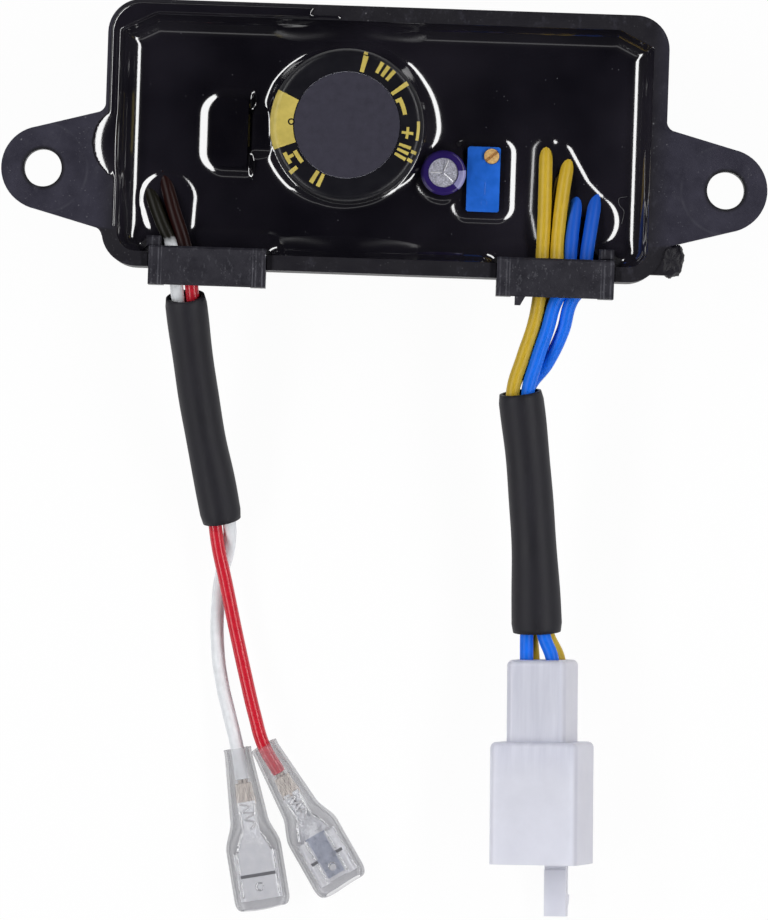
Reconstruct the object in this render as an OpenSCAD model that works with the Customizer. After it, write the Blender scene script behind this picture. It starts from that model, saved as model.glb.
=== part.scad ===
// Automatic voltage regulator for a small generator: a potted tray with two ears and two leads.
// Millimetres. +Z is up out of the potted face, +Y points away from the leads.
// The origin is under the middle of the tray and its clamps, on the face of the tray's back.

/* [Case] */
// Width of the tray between its ears
case_w = 82.2; // [78:0.2:90]
// Length of the tray from the lead side to the far side
case_l = 39.1; // [38:0.1:46]
// Height of the tray
case_h = 18; // [17.5:0.1:20]
// Thickness of the tray's walls
wall = 2.2; // [1.8:0.1:2.6]
// Thickness of the tray's floor
floor_t = 2; // [1.4:0.1:2.4]
// Radius of the tray's corners seen from above
corner_r = 5; // [4.6:0.1:5.4]
// Length of the web in each far corner, along the far wall
web_w = 5; // [3:0.1:6]
// Length of the web in each far corner, along the side wall
web_l = 2.5; // [1.5:0.1:3.5]
// Radius of the edge round the tray's back
foot_r = 1.2; // [0.6:0.1:1.8]
// Diameter of the four pillars under the circuit board
pillar_d = 4; // [3:0.1:5]
// Distance of the pillars from the circuit board's edges
pillar_in = 3; // [2.6:0.1:4]

/* [Ears] */
// Distance between the two mounting holes
ear_pitch = 100; // [98:0.5:112]
// Diameter of a mounting hole
ear_hole_d = 5.5; // [4.3:0.1:6.6]
// Radius of an ear's round end
ear_r = 6.1; // [5.2:0.1:7]
// Width of an ear where it meets the tray
ear_root_w = 17.4; // [15:0.1:18]
// Thickness of an ear
ear_t = 4; // [3:0.1:6]
// Distance of the hole line from the middle of the tray, towards the leads
ear_offset = 5.65; // [4:0.05:6]
// Radius of the hollow fillet at an ear's root
ear_fillet = 1.5; // [0.8:0.1:2]

/* [Gate stubs] */
// Width of the moulding stub at the tray's corner
stub_w = 4.6; // [3:0.1:4.8]
// How far the moulding stub stands out of the wall
stub_l = 2.8; // [1:0.1:4]
// How far the moulding stub reaches past the curve of the tray's corner
stub_up = 0.8; // [0:0.1:1]
// Thickness of the moulding stub
stub_t = 3; // [1.6:0.1:4]
// Depth of the moulding stub below the rim
stub_drop = 0.3; // [0.2:0.1:1]
// Length of the moulding nib on the right clamp
nib_l = 1.3; // [0.6:0.1:2]
// Width of the moulding nib
nib_w = 1.1; // [0.6:0.1:1.6]

/* [Wire clamps] */
// Distance of each clamp from the middle of the tray
clamp_x = 25.5; // [24:0.1:27]
// Width of a clamp
clamp_w = 17.2; // [16:0.1:18]
// Thickness of a clamp's bridge
clamp_t = 1.8; // [1.4:0.1:2]
// How far a clamp stands above the rim
clamp_rise = 1; // [0.6:0.1:1.4]
// How far a clamp reaches out past the wall
clamp_out = 2.6; // [1.8:0.1:3.4]
// Thickness of a clamp's inner legs
clamp_inner_t = 0.9; // [0.7:0.1:1.2]
// Width of a clamp's legs
leg_w = 2.2; // [1.6:0.1:2.6]
// How deep the outer legs reach below the bridge
leg_outer = 7; // [4:0.5:10]
// How deep the inner legs reach below the bridge
leg_inner = 5; // [4:0.1:6]
// Width of the bevel along a clamp's edges
clamp_bevel = 0.3; // [0.1:0.05:0.5]
// Height of the slot that the wires leave through
slot_h = 2.2; // [2.1:0.05:2.3]
// Clearance beside a clamp and beside its legs
clamp_clear = 0.15; // [0.1:0.05:0.3]

/* [Potting] */
// Depth of the potting's face below the rim
fill_below = 3.4; // [3:0.1:3.6]
// Radius of the hollow where the potting climbs the walls
meniscus = 2.2; // [1.4:0.1:2.4]
// Thickness of the potting where it thins out on a wall
skin_t = 0.3; // [0.2:0.05:0.4]
// Thickness of the potting that ran over the left rim
spill_t = 0.35; // [0.2:0.05:0.5]
// How far the spill reaches onto the left ear
spill_out = 1.9; // [1:0.1:3]
// Radius of the spill's edge on the left ear
spill_r = 5.6; // [4.6:0.1:6]
// Distance of the spill on the left ear from the middle of the tray, towards the leads
spill_y = 1.65; // [1.2:0.05:5]
// Distance from the lead-side corner to the start of the spill
spill_from = 2; // [1:0.1:6]
// How far the spill runs along the far wall
spill_run = 30.3; // [12:0.1:32]
// Height of the potting's collar round the main capacitor
main_collar = 2.2; // [1:0.1:2.4]
// Height of the potting's collar round the small capacitor
small_collar = 1.4; // [0.6:0.1:1.8]
// Height of the potting's collar round the trimmer
trimmer_collar = 0.9; // [0.5:0.1:1.1]

/* [Circuit board] */
// Thickness of the circuit board
board_t = 1.6; // [1.2:0.1:2]
// Space under the circuit board
board_gap = 2.4; // [2:0.1:2.8]
// Clearance round the circuit board
board_clear = 1; // [0.6:0.1:1.4]
// Length of a lead past the back of the board
lead_tail = 1.2; // [0.8:0.1:1.6]
// Distance of the diodes from the board's edges
diodes_in = 0.4; // [0.2:0.05:0.8]
// Distance of the power transistor from the board's edges
power_in = 1; // [0.6:0.1:1.4]
// Distance of the driver transistor's middle from the board's far edge
driver_in = 5.35; // [5:0.05:6]
// Distance of the resistors' middle from the board's lead-side edge
resistors_in = 3.35; // [3:0.05:3.6]
// Space between the power transistor and the first wire
power_clear = 0.2; // [0.1:0.05:0.4]

/* [Main capacitor] */
// Diameter of the main capacitor's can
main_d = 22; // [20:0.2:22.6]
// Height of the main capacitor's can
main_h = 20.4; // [16:0.2:30]
// Radius of the edge round the can's end
main_edge = 1.2; // [0.6:0.1:1.6]
// Thickness of its shrink sleeve
main_sleeve_t = 0.2; // [0.15:0.01:0.3]
// Diameter of the opening in the sleeve over the can's end
main_window_d = 15.6; // [14:0.1:17.6]
// Thickness of the disc in that opening
disc_t = 0.25; // [0.2:0.01:0.4]
// Distance between its pins
main_pitch = 10; // [7.5:0.5:12]
// Diameter of its pins
main_pin_d = 1.5; // [1:0.1:2]

/* [Small capacitor] */
// Diameter of the small capacitor's can
small_d = 6.3; // [5:0.1:6.4]
// Height of the small capacitor's can
small_h = 11; // [10.8:0.1:14]
// Radius of the edge round the can's end
small_edge = 0.5; // [0.3:0.05:0.7]
// Thickness of its shrink sleeve
small_sleeve_t = 0.15; // [0.1:0.01:0.2]
// Diameter of the opening in the sleeve over the can's end
small_window_d = 4.3; // [3.6:0.1:4.6]
// Depth of the vent score on the can's end
vent_depth = 0.12; // [0.05:0.01:0.2]
// Width of the vent score
vent_w = 0.3; // [0.2:0.05:0.4]
// Distance between its leads
small_pitch = 2.5; // [2:0.1:3]
// Diameter of its leads
small_lead_d = 0.6; // [0.4:0.05:0.7]
// Space between the small and the main capacitor
small_gap = 1.086; // [0.8:0.001:1.4]

/* [Trimmer] */
// Width of the trimmer's housing
trim_w = 4.83; // [4.4:0.01:5]
// Length of the trimmer's housing
trim_l = 9.53; // [9:0.01:10]
// How far the trimmer stands above the potting's face
trim_proud = 1.4; // [1.2:0.1:2.4]
// Height of the feet under the trimmer
trim_foot = 0.4; // [0.2:0.1:0.8]
// Bevel on the housing's corners
trim_bevel = 0.25; // [0.1:0.05:0.4]
// Diameter of the adjusting screw's head
screw_d = 2.2; // [1.8:0.05:2.3]
// Height of the screw's head
screw_head = 1.7; // [1.4:0.1:2]
// How far the screw stands out of the housing
screw_proud = 0.4; // [0.2:0.05:0.6]
// Diameter of the screw's stem
stem_d = 1.4; // [1:0.1:1.6]
// Length of the screw's stem
stem_l = 5.5; // [4:0.1:6.5]
// Distance of the screw from the housing's side
screw_in_x = 1.3; // [1.25:0.01:1.6]
// Distance of the screw from the housing's end
screw_in_y = 1.35; // [1.25:0.01:1.8]
// Width of the screw's slot
screw_slot_w = 0.45; // [0.3:0.05:0.6]
// Depth of the screw's slot
screw_slot_h = 0.6; // [0.3:0.05:0.8]
// Running clearance round the screw
screw_clear = 0.06; // [0.03:0.01:0.09]
// Turn of the screw's slot
screw_turn = 40; // [0:5:175]
// Diameter of the trimmer's pins
trim_pin_d = 0.5; // [0.4:0.05:0.7]
// Distance between the trimmer's pins
trim_pitch = 2.54; // [2:0.01:3]
// Space between the trimmer and the small capacitor
trim_gap = 0.185; // [0.1:0.005:0.4]
// Distance of the trimmer's middle from the small capacitor's, towards the leads
trim_down = 0.75; // [0:0.05:1]

/* [Film capacitor] */
// Width of the film capacitor
film_w = 5; // [4:0.1:5.4]
// Length of the film capacitor
film_l = 10; // [9:0.1:11]
// Height of the film capacitor
film_h = 10.4; // [9.8:0.1:10.6]
// Radius of its upright edges
film_r = 0.8; // [0.4:0.1:1.2]
// Thickness of the potting over it
film_cover = 0.5; // [0.3:0.05:0.8]
// Distance between its leads
film_pitch = 7.5; // [5:0.1:8]
// Diameter of its leads
film_lead_d = 0.6; // [0.4:0.05:0.8]

/* [Power transistor] */
// Width of the power transistor
power_w = 10; // [9:0.1:10.4]
// Length of its moulded body
power_body_l = 9; // [8:0.1:9.4]
// Thickness of its moulded body over the tab
power_body_t = 3.2; // [2.4:0.1:3.6]
// Length of its metal tab with the body on it
power_tab_l = 15.4; // [14:0.1:15.6]
// Thickness of its metal tab
power_tab_t = 1.3; // [1:0.1:1.5]
// Diameter of the hole in its tab
power_hole_d = 3.6; // [3:0.1:3.8]
// Width of its three leads
power_lead_w = 0.8; // [0.6:0.05:1]
// Distance between its leads
power_pitch = 2.54; // [2.2:0.01:2.8]
// How far its leads run out before they bend down
power_lead_out = 2.2; // [1.5:0.1:2.6]

/* [Small parts on the board] */
// Diameter of a diode's body
diode_d = 2.7; // [2:0.1:3]
// Length of a diode's body
diode_l = 5.2; // [4:0.1:5.6]
// Diameter of a diode's leads
diode_lead_d = 0.7; // [0.5:0.05:0.8]
// Distance between the legs of a diode
diode_span = 9; // [7.6:0.1:9.6]
// Number of diodes
diode_count = 4; // [2:1:4]
// Distance between neighbouring diodes
diode_step = 3.6; // [3.2:0.1:3.8]
// Diameter of a resistor's body
resistor_d = 2.3; // [1.8:0.1:2.5]
// Length of a resistor's body
resistor_l = 6.3; // [5:0.1:6.6]
// Diameter of a resistor's leads
resistor_lead_d = 0.6; // [0.4:0.05:0.7]
// Distance between the legs of a resistor
resistor_span = 10; // [8.6:0.1:10.4]
// Number of resistors
resistor_count = 3; // [1:1:3]
// Distance between neighbouring resistors
resistor_step = 13; // [12:0.1:13.6]
// Diameter of the driver transistor
driver_d = 4.8; // [4:0.1:5]
// Height of the driver transistor
driver_h = 4.8; // [4:0.1:5.4]
// Depth of the flat on the driver transistor
driver_flat = 0.9; // [0.5:0.1:1.2]
// Distance between its leads
driver_pitch = 1.27; // [1:0.01:1.5]
// Diameter of its leads
driver_lead_d = 0.5; // [0.4:0.05:0.6]
// Height of its body above the board
driver_lift = 1.6; // [1:0.1:2]

/* [Leads] */
// Diameter of each insulated wire
wire_d = 2; // [1.8:0.05:2.05]
// Half the width of the left sleeve
sleeve_left_r = 3; // [2.9:0.05:3.2]
// Half the width of the right sleeve
sleeve_right_r = 3.25; // [3.2:0.05:3.4]
// How much the right sleeve widens at its far end
sleeve_flare = 0.5; // [0:0.05:0.6]
// Thickness of the sleeves
sleeve_t = 0.35; // [0.25:0.05:0.4]

/* [Spade receptacles] */
// Width of the tab that a receptacle takes
tab_w = 4.8; // [4.4:0.1:5]
// Thickness of the metal
metal_t = 0.4; // [0.3:0.02:0.42]
// Outer radius of a rolled edge
roll_r = 0.95; // [0.85:0.01:1]
// How far the lip of a rolled edge reaches in past the middle of the roll
roll_lip = 0.57; // [0.4:0.01:0.6]
// Length of the rolled part
socket_l = 7; // [6:0.1:7.6]
// Length of the part that widens from the neck
flare_l = 2.6; // [2:0.1:3]
// Length of the neck
neck_l = 1.6; // [1:0.1:2]
// Width of the neck
neck_w = 2.2; // [1.8:0.1:2.6]
// Height of the folded sides along the neck
side_h = 1.1; // [0.8:0.05:1.4]
// Length of the crimped barrel
crimp_l = 3.4; // [2.6:0.1:4]
// Width of the crimped barrel
crimp_w = 2.6; // [2.4:0.05:3]
// Height of the crimped barrel
crimp_h = 2.2; // [2.1:0.05:2.6]
// Diameter of the bundle of bare strands
strand_d = 1.5; // [1:0.05:1.6]
// Gap between neighbouring strands
strand_gap = 0.06; // [0.03:0.01:0.1]
// Length of bare strands that shows
strand_l = 3.3; // [2.4:0.1:3.3]
// Width of the slot across the receptacle
socket_slot = 0.5; // [0.3:0.05:0.7]
// Place of the slot along the rolled part, from its inner end
slot_at = 3.1; // [2.4:0.1:3.6]
// Radius of the dimple that holds the tab
dimple_r = 0.5; // [0.3:0.05:0.6]

/* [Clear covers] */
// Length of a clear cover
cover_l = 24; // [23:0.1:26]
// Diameter of a cover's narrow end
cover_d = 4.4; // [4:0.05:4.45]
// Width of a cover's wide end
cover_w = 8.2; // [8:0.1:9]
// Thickness of a cover's wall
cover_t = 0.4; // [0.3:0.02:0.45]
// Length of the narrow end
cover_neck_l = 10.4; // [8:0.1:10.6]
// Width that the narrow end grows to along its length
cover_neck_w = 5.6; // [4.6:0.1:6]
// Length over which a cover widens
cover_flare_l = 4.6; // [3:0.1:5]
// Bare length of cover past the end of the receptacle
cover_past = 1.4; // [0.8:0.1:2]
// Squareness of a cover's wide end, where 2 is an oval
cover_square = 4.5; // [3:0.1:6]

/* [Plug] */
// Width of the plug's wire end
rear_w = 9; // [8.8:0.1:9.6]
// Depth of the plug's wire end
rear_d = 9; // [8.8:0.1:9.6]
// Length of the plug's wire end
rear_l = 12.1; // [11:0.1:14]
// Width of the plug's shroud
shroud_w = 13.3; // [12.8:0.1:14]
// Depth of the plug's shroud
shroud_d = 11.6; // [11.2:0.1:12.2]
// Length of the plug's shroud
shroud_l = 18; // [16:0.1:20]
// Thickness of the shroud's walls
shroud_t = 1.2; // [0.9:0.1:1.4]
// Thickness of the plug's bulkhead
bulkhead_t = 3; // [2:0.1:4]
// Radius of the plug's edges
plug_r = 1.1; // [0.7:0.1:1.4]
// Width of a contact's chamber
chamber_w = 3.1; // [2.95:0.05:3.2]
// Distance between chambers
chamber_pitch = 3.9; // [3.7:0.05:4.1]
// Width of a contact blade
blade_w = 2.8; // [2.2:0.1:2.85]
// Thickness of a contact blade
blade_t = 0.8; // [0.5:0.05:0.9]
// Length of a blade inside the shroud
blade_l = 8; // [6:0.1:9]
// Depth at which a contact starts inside its chamber
contact_in = 3; // [2:0.1:4]
// Clearance of a contact in its chamber
contact_clear = 0.06; // [0.02:0.01:0.2]
// Width of the locking finger
finger_w = 3.3; // [2.6:0.1:4]
// Thickness of the locking finger
finger_t = 1.4; // [1.2:0.05:1.6]
// How far the locking finger reaches past the mouth
finger_l = 7.9; // [5:0.1:9]
// Place of the locking finger beside the plug's middle
finger_x = 1; // [0:0.1:1.4]
// Height of the barb on the locking finger
barb_h = 0.8; // [0.4:0.05:0.9]
// Length of the barb
barb_l = 2.4; // [1.6:0.1:3]
// Turn of the plug about its own length
plug_roll = 15; // [12:0.5:18]

/* [Hidden] */
$fn = 64;

// Overlap that joins the solids of one piece, and extra length of a cut
join = 0.2;
over = 1;

// Levels above the back of the tray
board_z = floor_t + board_gap;
board_top = board_z + board_t;
fill_z = case_h - fill_below;
trim_h = fill_z + trim_proud - board_top;
seat_z = case_h + clamp_rise - clamp_t;
slot_z = seat_z - slot_h;

// The tray is centred so that the clamps and nib stay inside a box centred on the origin
case_y = (clamp_out + nib_l) / 2;
inner_w = case_w - 2 * wall;
inner_l = case_l - 2 * wall;
inner_r = corner_r - wall;
pan_r = inner_r - skin_t;
pan_edge = min(meniscus, pan_r - skin_t);
board_w = inner_w - 2 * board_clear;
board_l = inner_l - 2 * board_clear;
clamp_in = wall + clamp_inner_t;
slot_w = clamp_w - 2 * leg_w - 2 * clamp_clear;

// Places of the parts on the board, from the middle of the tray
main_r = main_d / 2 + main_sleeve_t;
small_r = small_d / 2 + small_sleeve_t;
main_at = [-5.7, 1.8];
small_way = [14.3, -6.2];
small_at = main_at + unit(small_way) * (main_r + small_r + small_gap);
trim_at = small_at + [small_r + trim_w / 2 + trim_gap, -trim_down];
film_at = [-22.7, 0.5];
power_at = [board_w / 2 - power_tab_l / 2 - power_in, board_l / 2 - power_w / 2 - power_in];
diodes_at = [
  -board_w / 2 + diode_span / 2 + diode_lead_d / 2 + diodes_in,
  board_l / 2 - diode_d / 2 - diodes_in - (diode_count - 1) / 2 * diode_step
];
resistors_at = [-1, -board_l / 2 + resistors_in];
driver_at = [9.5, board_l / 2 - driver_in];
pillars_at = [board_w / 2 - pillar_in, board_l / 2 - pillar_in];

// Middle of the adjusting screw, from the middle of the trimmer
screw_at = [trim_w / 2 - screw_in_x, trim_l / 2 - screw_in_y];

// Spades, measured from the narrow end of the cover
socket_end = cover_l - cover_past;
socket_start = socket_end - socket_l;
flare_start = socket_start - flare_l;
crimp_start = flare_start - neck_l - crimp_l;
strand_start = crimp_start - strand_l;
cover_h = cover_d;

// Where the clear covers and the plug lie: narrow end, turn about Z, fall towards the mouth
white_at = [-18.9, -88.1, 2.35];
white_turn = 11.3;
red_at = [-15, -87.5, 4.6];
red_turn = 31.4;
red_fall = 5.2;
plug_at = [25.7, -73.4, shroud_w / 2 * sin(plug_roll) + shroud_d / 2 * cos(plug_roll)];
plug_turn = 1.5;

// Lines that the wires' routes start from: the transistor's edge, the board's left edge and the lead wall
power_y = case_y + power_at[1] - power_w / 2 - power_clear - wire_d / 2;
board_x = -board_w / 2;
wall_y = case_y - case_l / 2;

// Routes of the wires, from the board to the far end
route_yellow_1 = [
  [24, power_y, 6.2], [24, power_y - 0.4, 9], [23.8, power_y - 1.7, 12], [23.6, 1.5, 14.5],
  [23.6, -4, 15.9], [23.6, -10, 16.1],
  [23.4, -17.8, 16.1], [23.2, -20.6, 16.1], [22.6, -24.3, 15.6], [21.2, -29, 15], [19.9, -34.2, 14.3],
  [20.8, -42, 12.6], [21.5, -49.5, 11.1], [22.3, -56.5, 9.6], [23.1, -63, 8.1], [23.8, -69.3, 6.7],
  [24.3, -73.4, 5.3], [24.4, -76.3, 5.2]
];
route_yellow_2 = [
  [27.4, 4.4, 6.2], [27.4, 4, 9], [27.2, 2.4, 12], [26.8, -0.6, 14.5], [26.2, -5, 15.9],
  [25.7, -11, 16.1], [25.4, -17.8, 16.1], [25, -19, 14.9], [24.5, -20.6, 14.2], [23.5, -25, 13.6],
  [21.6, -29.6, 12.8], [19.9, -34.2, 12.1], [21.6, -42, 10.6], [23, -49.5, 9.4], [24.3, -56.5, 8.6],
  [25.3, -63, 7.9], [26.2, -69.3, 7.3], [28.1, -73.4, 6.2], [28.2, -76.3, 6.2]
];
route_blue_1 = [
  [28.6, -1, 6.2], [28.6, -1.4, 9], [28.5, -3, 12], [28.2, -6.2, 14.6], [27.8, -10.5, 15.9],
  [27.6, -14, 16.1], [27.7, -17.8, 16.1], [25.8, -20.6, 16.1], [24.6, -25, 15.9], [23.2, -29.6, 15.2],
  [22.1, -34.2, 14.3], [22.8, -42, 13.4], [23.2, -49.5, 12.6], [23.3, -56.5, 11.6], [23.3, -63, 10.3],
  [23.2, -69.3, 9.1], [23.3, -73.4, 9], [23.4, -76.3, 9]
];
route_blue_2 = [
  [31.6, -0.8, 6.2], [31.6, -1.2, 9], [31.4, -2.8, 12], [31, -6, 14.6], [30.4, -10.5, 15.9],
  [30, -14, 16.1], [29.9, -17.8, 16.1], [28, -20.6, 16], [26.9, -25, 15], [24.9, -29.6, 13.5],
  [22.1, -34.2, 12.1], [23.6, -42, 11.4], [24.7, -49.5, 10.9], [25.3, -56.5, 10.6], [25.5, -63, 10.1],
  [25.6, -69.3, 9.7], [27.1, -73.4, 10], [27.2, -76.3, 10]
];
route_red = [
  [board_x + 3.7, 0.4, 6.2], [board_x + 3.8, 0, 9], [board_x + 4.5, -1.8, 12], [-32, -5.2, 14.6],
  [-30.6, wall_y + 8.1, 15.9], [-29, wall_y + 3.6, 16.1], [-28.1, wall_y - 0.2, 16.1],
  [-27.5, -21.8, 15.4], [-26.6, -29, 13.3], [-26, -36, 10.8],
  [-25.3, -42.5, 8.3], [-24.5, -48.5, 5.8], [-23.4, -54.5, 3.7], [-22.7, -58.5, 3.6], [-21.5, -63.3, 3.4],
  [-19.7, -70.8, 3.2], [-18.1, -77.1, 3.5], [-16.5, -83, 4.1], [-15, -87.5, 4.6], [-12.6, -91.4, 4.2]
];
route_white = [
  [board_x + 1.3, -1.8, 6.2], [board_x + 1.4, -2.2, 9], [board_x + 2.3, -3.9, 12], [-34.1, -7, 14.6],
  [-32.4, wall_y + 6.6, 15.9], [-30.9, wall_y + 3.4, 16.1], [-30.2, wall_y - 0.2, 16.1],
  [-29.7, -21.8, 15.4], [-28.4, -29, 11.9], [-26.6, -36, 8.6],
  [-24.7, -42.5, 6.1], [-22.7, -48.5, 4.4], [-21.2, -54.5, 3.4], [-21.2, -58.5, 1.8], [-22.1, -62.5, 1.1],
  [-22.5, -67.5, 1.1], [-22.3, -73.5, 1.1], [-21.5, -78.5, 1.3], [-20.3, -83, 1.9], [-18.9, -88.1, 2.35],
  [-18, -92.6, 2.35]
];
route_sleeve_left = [
  [-28.6, -21.8, 15.4], [-27.5, -29, 12.6], [-26.3, -36, 9.7], [-25, -42.5, 7.2], [-23.6, -48.5, 5.1],
  [-22.3, -54.5, 3.5]
];
route_sleeve_right = [
  [21, -34.2, 13.2], [22.2, -42, 12], [23.1, -49.5, 11], [23.8, -56.5, 10.1], [24.3, -63, 9.1],
  [24.7, -69.3, 8.2]
];
// Points of a wire that lie in the potting or close above it
sunk_points = 6;
wire_sides = 8;
sleeve_sides = 12;
cover_sides = 24;
cover_steps = 4;

// Sweeps and lofts

function unit(v) = v / norm(v);
function heading(route, i) = unit(route[min(i + 1, len(route) - 1)] - route[max(i - 1, 0)]);
function across(v) = unit(cross(v, [0, 0, 1]));

// A ring of points round one point of a route, half as wide as w and half as high as h
function ring(route, i, w, h, sides) =
  let (t = heading(route, i), s = across(t), u = cross(s, t))
  [for (k = [0:sides - 1]) let (a = 360 * (k + 0.5) / sides) route[i] + s * w * cos(a) + u * h * sin(a)];

function rings(route, w, h, sides) = [for (i = [0:len(route) - 1]) ring(route, i, w[i], h[i], sides)];

function even(route, value) = [for (p = route) value];

// Triangles between neighbouring rings, facing out, or in when flip is true
function ring_sides(count, sides, first, flip) = [
  for (i = [0:count - 2], k = [0:sides - 1])
    let (
      a = first + i * sides + k,
      b = first + i * sides + (k + 1) % sides,
      c = b + sides,
      d = a + sides
    )
    each flip ? [[a, c, b], [a, d, c]] : [[a, b, c], [a, c, d]]
];

module solid_loft(loops) {
  sides = len(loops[0]);
  last = (len(loops) - 1) * sides;
  polyhedron(
    points = [for (loop = loops) each loop],
    faces = concat(
      [[for (k = [sides - 1:-1:0]) k]],
      [[for (k = [0:sides - 1]) last + k]],
      ring_sides(len(loops), sides, 0, false)
    )
  );
}

module hollow_loft(outer, inner) {
  sides = len(outer[0]);
  count = len(outer);
  first = count * sides;
  last = (count - 1) * sides;
  polyhedron(
    points = [for (loop = concat(outer, inner)) each loop],
    faces = concat(
      ring_sides(count, sides, 0, false),
      ring_sides(count, sides, first, true),
      [for (k = [0:sides - 1]) let (n = (k + 1) % sides) each
        [[n, k, first + k], [n, first + k, first + n]]],
      [for (k = [0:sides - 1]) let (n = (k + 1) % sides) each
        [[last + k, last + n, first + last + n], [last + k, first + last + n, first + last + k]]]
    )
  );
}

module wire(route) {
  solid_loft(rings(route, even(route, wire_d / 2), even(route, wire_d / 2), wire_sides));
}

// The first stretch of a wire, which the potting holds
module sunk_wire(route) {
  wire([for (i = [0:sunk_points]) route[i]]);
}

// Outlines and blocks

module rounded_outline(w, l, r) {
  square([w - 2 * r, l], center = true);
  square([w, l - 2 * r], center = true);
  for (x = [-1, 1], y = [-1, 1])
    translate([x * (w / 2 - r), y * (l / 2 - r)])
      circle(r);
}

// Half section of a puck whose lower edge is rounded
module puck_section(r, h, edge) {
  translate([0, edge])
    square([r, h - edge]);
  square([r - edge, edge]);
  translate([r - edge, edge])
    intersection() {
      circle(edge);
      translate([0, -edge])
        square(edge);
    }
}

// Section across a block whose two lower edges are rounded
module block_section(w, h, edge) {
  translate([-w / 2, edge])
    square([w, h - edge]);
  translate([-w / 2 + edge, 0])
    square([w - 2 * edge, h]);
  for (side = [-1, 1])
    translate([side * (w / 2 - edge), edge])
      circle(edge);
}

// Block standing on z = 0 with round corners of radius r and a rounded lower edge
module rounded_block(w, l, h, r, edge) {
  for (x = [-1, 1], y = [-1, 1])
    translate([x * (w / 2 - r), y * (l / 2 - r), 0])
      rotate_extrude()
        puck_section(r, h, edge);
  rotate([90, 0, 0])
    linear_extrude(l - 2 * r, center = true)
      block_section(w, h, edge);
  rotate([90, 0, 90])
    linear_extrude(w - 2 * r, center = true)
      block_section(l, h, edge);
}

// Half section of a collar that climbs h up a round part in a hollow curve
module collar_section(r, h) {
  difference() {
    translate([0, -join])
      square([r + skin_t + h, h + join]);
    translate([r + skin_t + h, h])
      circle(h);
  }
}

// The same collar round a block
module block_collar(w, l, r, h) {
  for (x = [-1, 1], y = [-1, 1])
    translate([x * (w / 2 - r), y * (l / 2 - r), 0])
      rotate_extrude()
        collar_section(r, h);
  for (side = [0, 1])
    mirror([side, 0, 0])
      rotate([90, 0, 0])
        linear_extrude(l - 2 * r, center = true)
          collar_section(w / 2, h);
  for (side = [0, 1])
    mirror([0, side, 0])
      rotate([90, 0, 90])
        linear_extrude(w - 2 * r, center = true)
          collar_section(l / 2, h);
}

module in_tray() {
  translate([0, case_y, 0])
    children();
}

module on_board(at, lift = 0) {
  translate([at[0], case_y + at[1], board_top + lift])
    children();
}

// Tray

// One half of an ear's outline, from the hole line to its upper side, with the hole at the origin
module ear_half() {
  reach = ear_pitch / 2 - case_w / 2;
  root = [-reach, ear_root_w / 2];
  inside = ear_r - join / 10;
  touch = atan2(root[1], root[0]) - acos(inside / norm(root));
  tip = inside * [cos(touch), sin(touch)];
  along = unit(tip - root);
  half = acos(along[1]) / 2;
  middle = root + unit(along + [0, 1]) * ear_fillet / sin(half);
  run = ear_fillet / tan(half);
  polygon([[0, 0], tip, root, root - [wall / 2, 0], [-reach - wall / 2, 0]]);
  difference() {
    polygon([root, root + [0, run], middle, root + along * run]);
    translate(middle)
      circle(ear_fillet + join / 10);
  }
}

module ear_outline() {
  circle(ear_r);
  for (side = [0, 1])
    mirror([0, side])
      ear_half();
}

module ears() {
  for (side = [0, 1])
    mirror([side, 0, 0])
      translate([ear_pitch / 2, -ear_offset, case_h - ear_t])
        linear_extrude(ear_t)
          ear_outline();
}

module ear_holes() {
  for (x = [-1, 1])
    translate([x * ear_pitch / 2, -ear_offset, case_h - ear_t - over])
      cylinder(d = ear_hole_d, h = ear_t + 2 * over);
}

// Cut in the lead side for one clamp: a seat for its bridge and a deeper slot for the wires
module clamp_cut() {
  translate([-clamp_w / 2 - clamp_clear, -case_l / 2 - over, seat_z])
    cube([clamp_w + 2 * clamp_clear, wall + 2 * over, case_h]);
  translate([-slot_w / 2, -case_l / 2 - over, slot_z])
    cube([slot_w, wall + 2 * over, case_h]);
}

// Webs that fill the two far corners of the tray up to the rim
module corner_webs() {
  for (side = [0, 1])
    mirror([side, 0, 0])
      translate([inner_w / 2, inner_l / 2, floor_t - join])
        linear_extrude(case_h - floor_t + join)
          polygon([[-web_w, join], [-web_w, 0], [0, -web_l], [join, -web_l], [join, join]]);
}

module pillars() {
  for (x = [-1, 1], y = [-1, 1])
    translate([x * pillars_at[0], y * pillars_at[1], floor_t - join])
      cylinder(d = pillar_d, h = board_gap + join);
}

// Stub that the moulding gate left at the lower right corner, broken off at a slant
module gate_stub() {
  translate([case_w / 2, -case_l / 2 + corner_r + stub_up - stub_w, case_h - stub_t - stub_drop])
    linear_extrude(stub_t)
      polygon([
        [-corner_r / 2, 0], [stub_l / 2, 0], [stub_l * 7 / 8, stub_w / 6], [stub_l, stub_w * 2 / 3],
        [stub_l / 5, stub_w], [-wall / 2, stub_w], [-corner_r / 2, stub_w / 2]
      ]);
}

module case() {
  color([0.16, 0.155, 0.18])
    in_tray() {
      difference() {
        union() {
          rounded_block(case_w, case_l, case_h, corner_r, foot_r);
          ears();
          gate_stub();
        }
        translate([0, 0, floor_t])
          linear_extrude(case_h)
            rounded_outline(inner_w, inner_l, inner_r);
        ear_holes();
        for (x = [-1, 1])
          translate([x * clamp_x, 0, 0])
            clamp_cut();
      }
      pillars();
      corner_webs();
    }
}

// Clamps

// Section of the bridge from the outside of the wall to the inside, with bevelled edges
module clamp_section() {
  depth = clamp_out + clamp_in;
  polygon([
    [0, 0], [0, clamp_t - clamp_bevel], [clamp_bevel, clamp_t], [depth - clamp_bevel, clamp_t],
    [depth, clamp_t - clamp_bevel], [depth, 0]
  ]);
}

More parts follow.
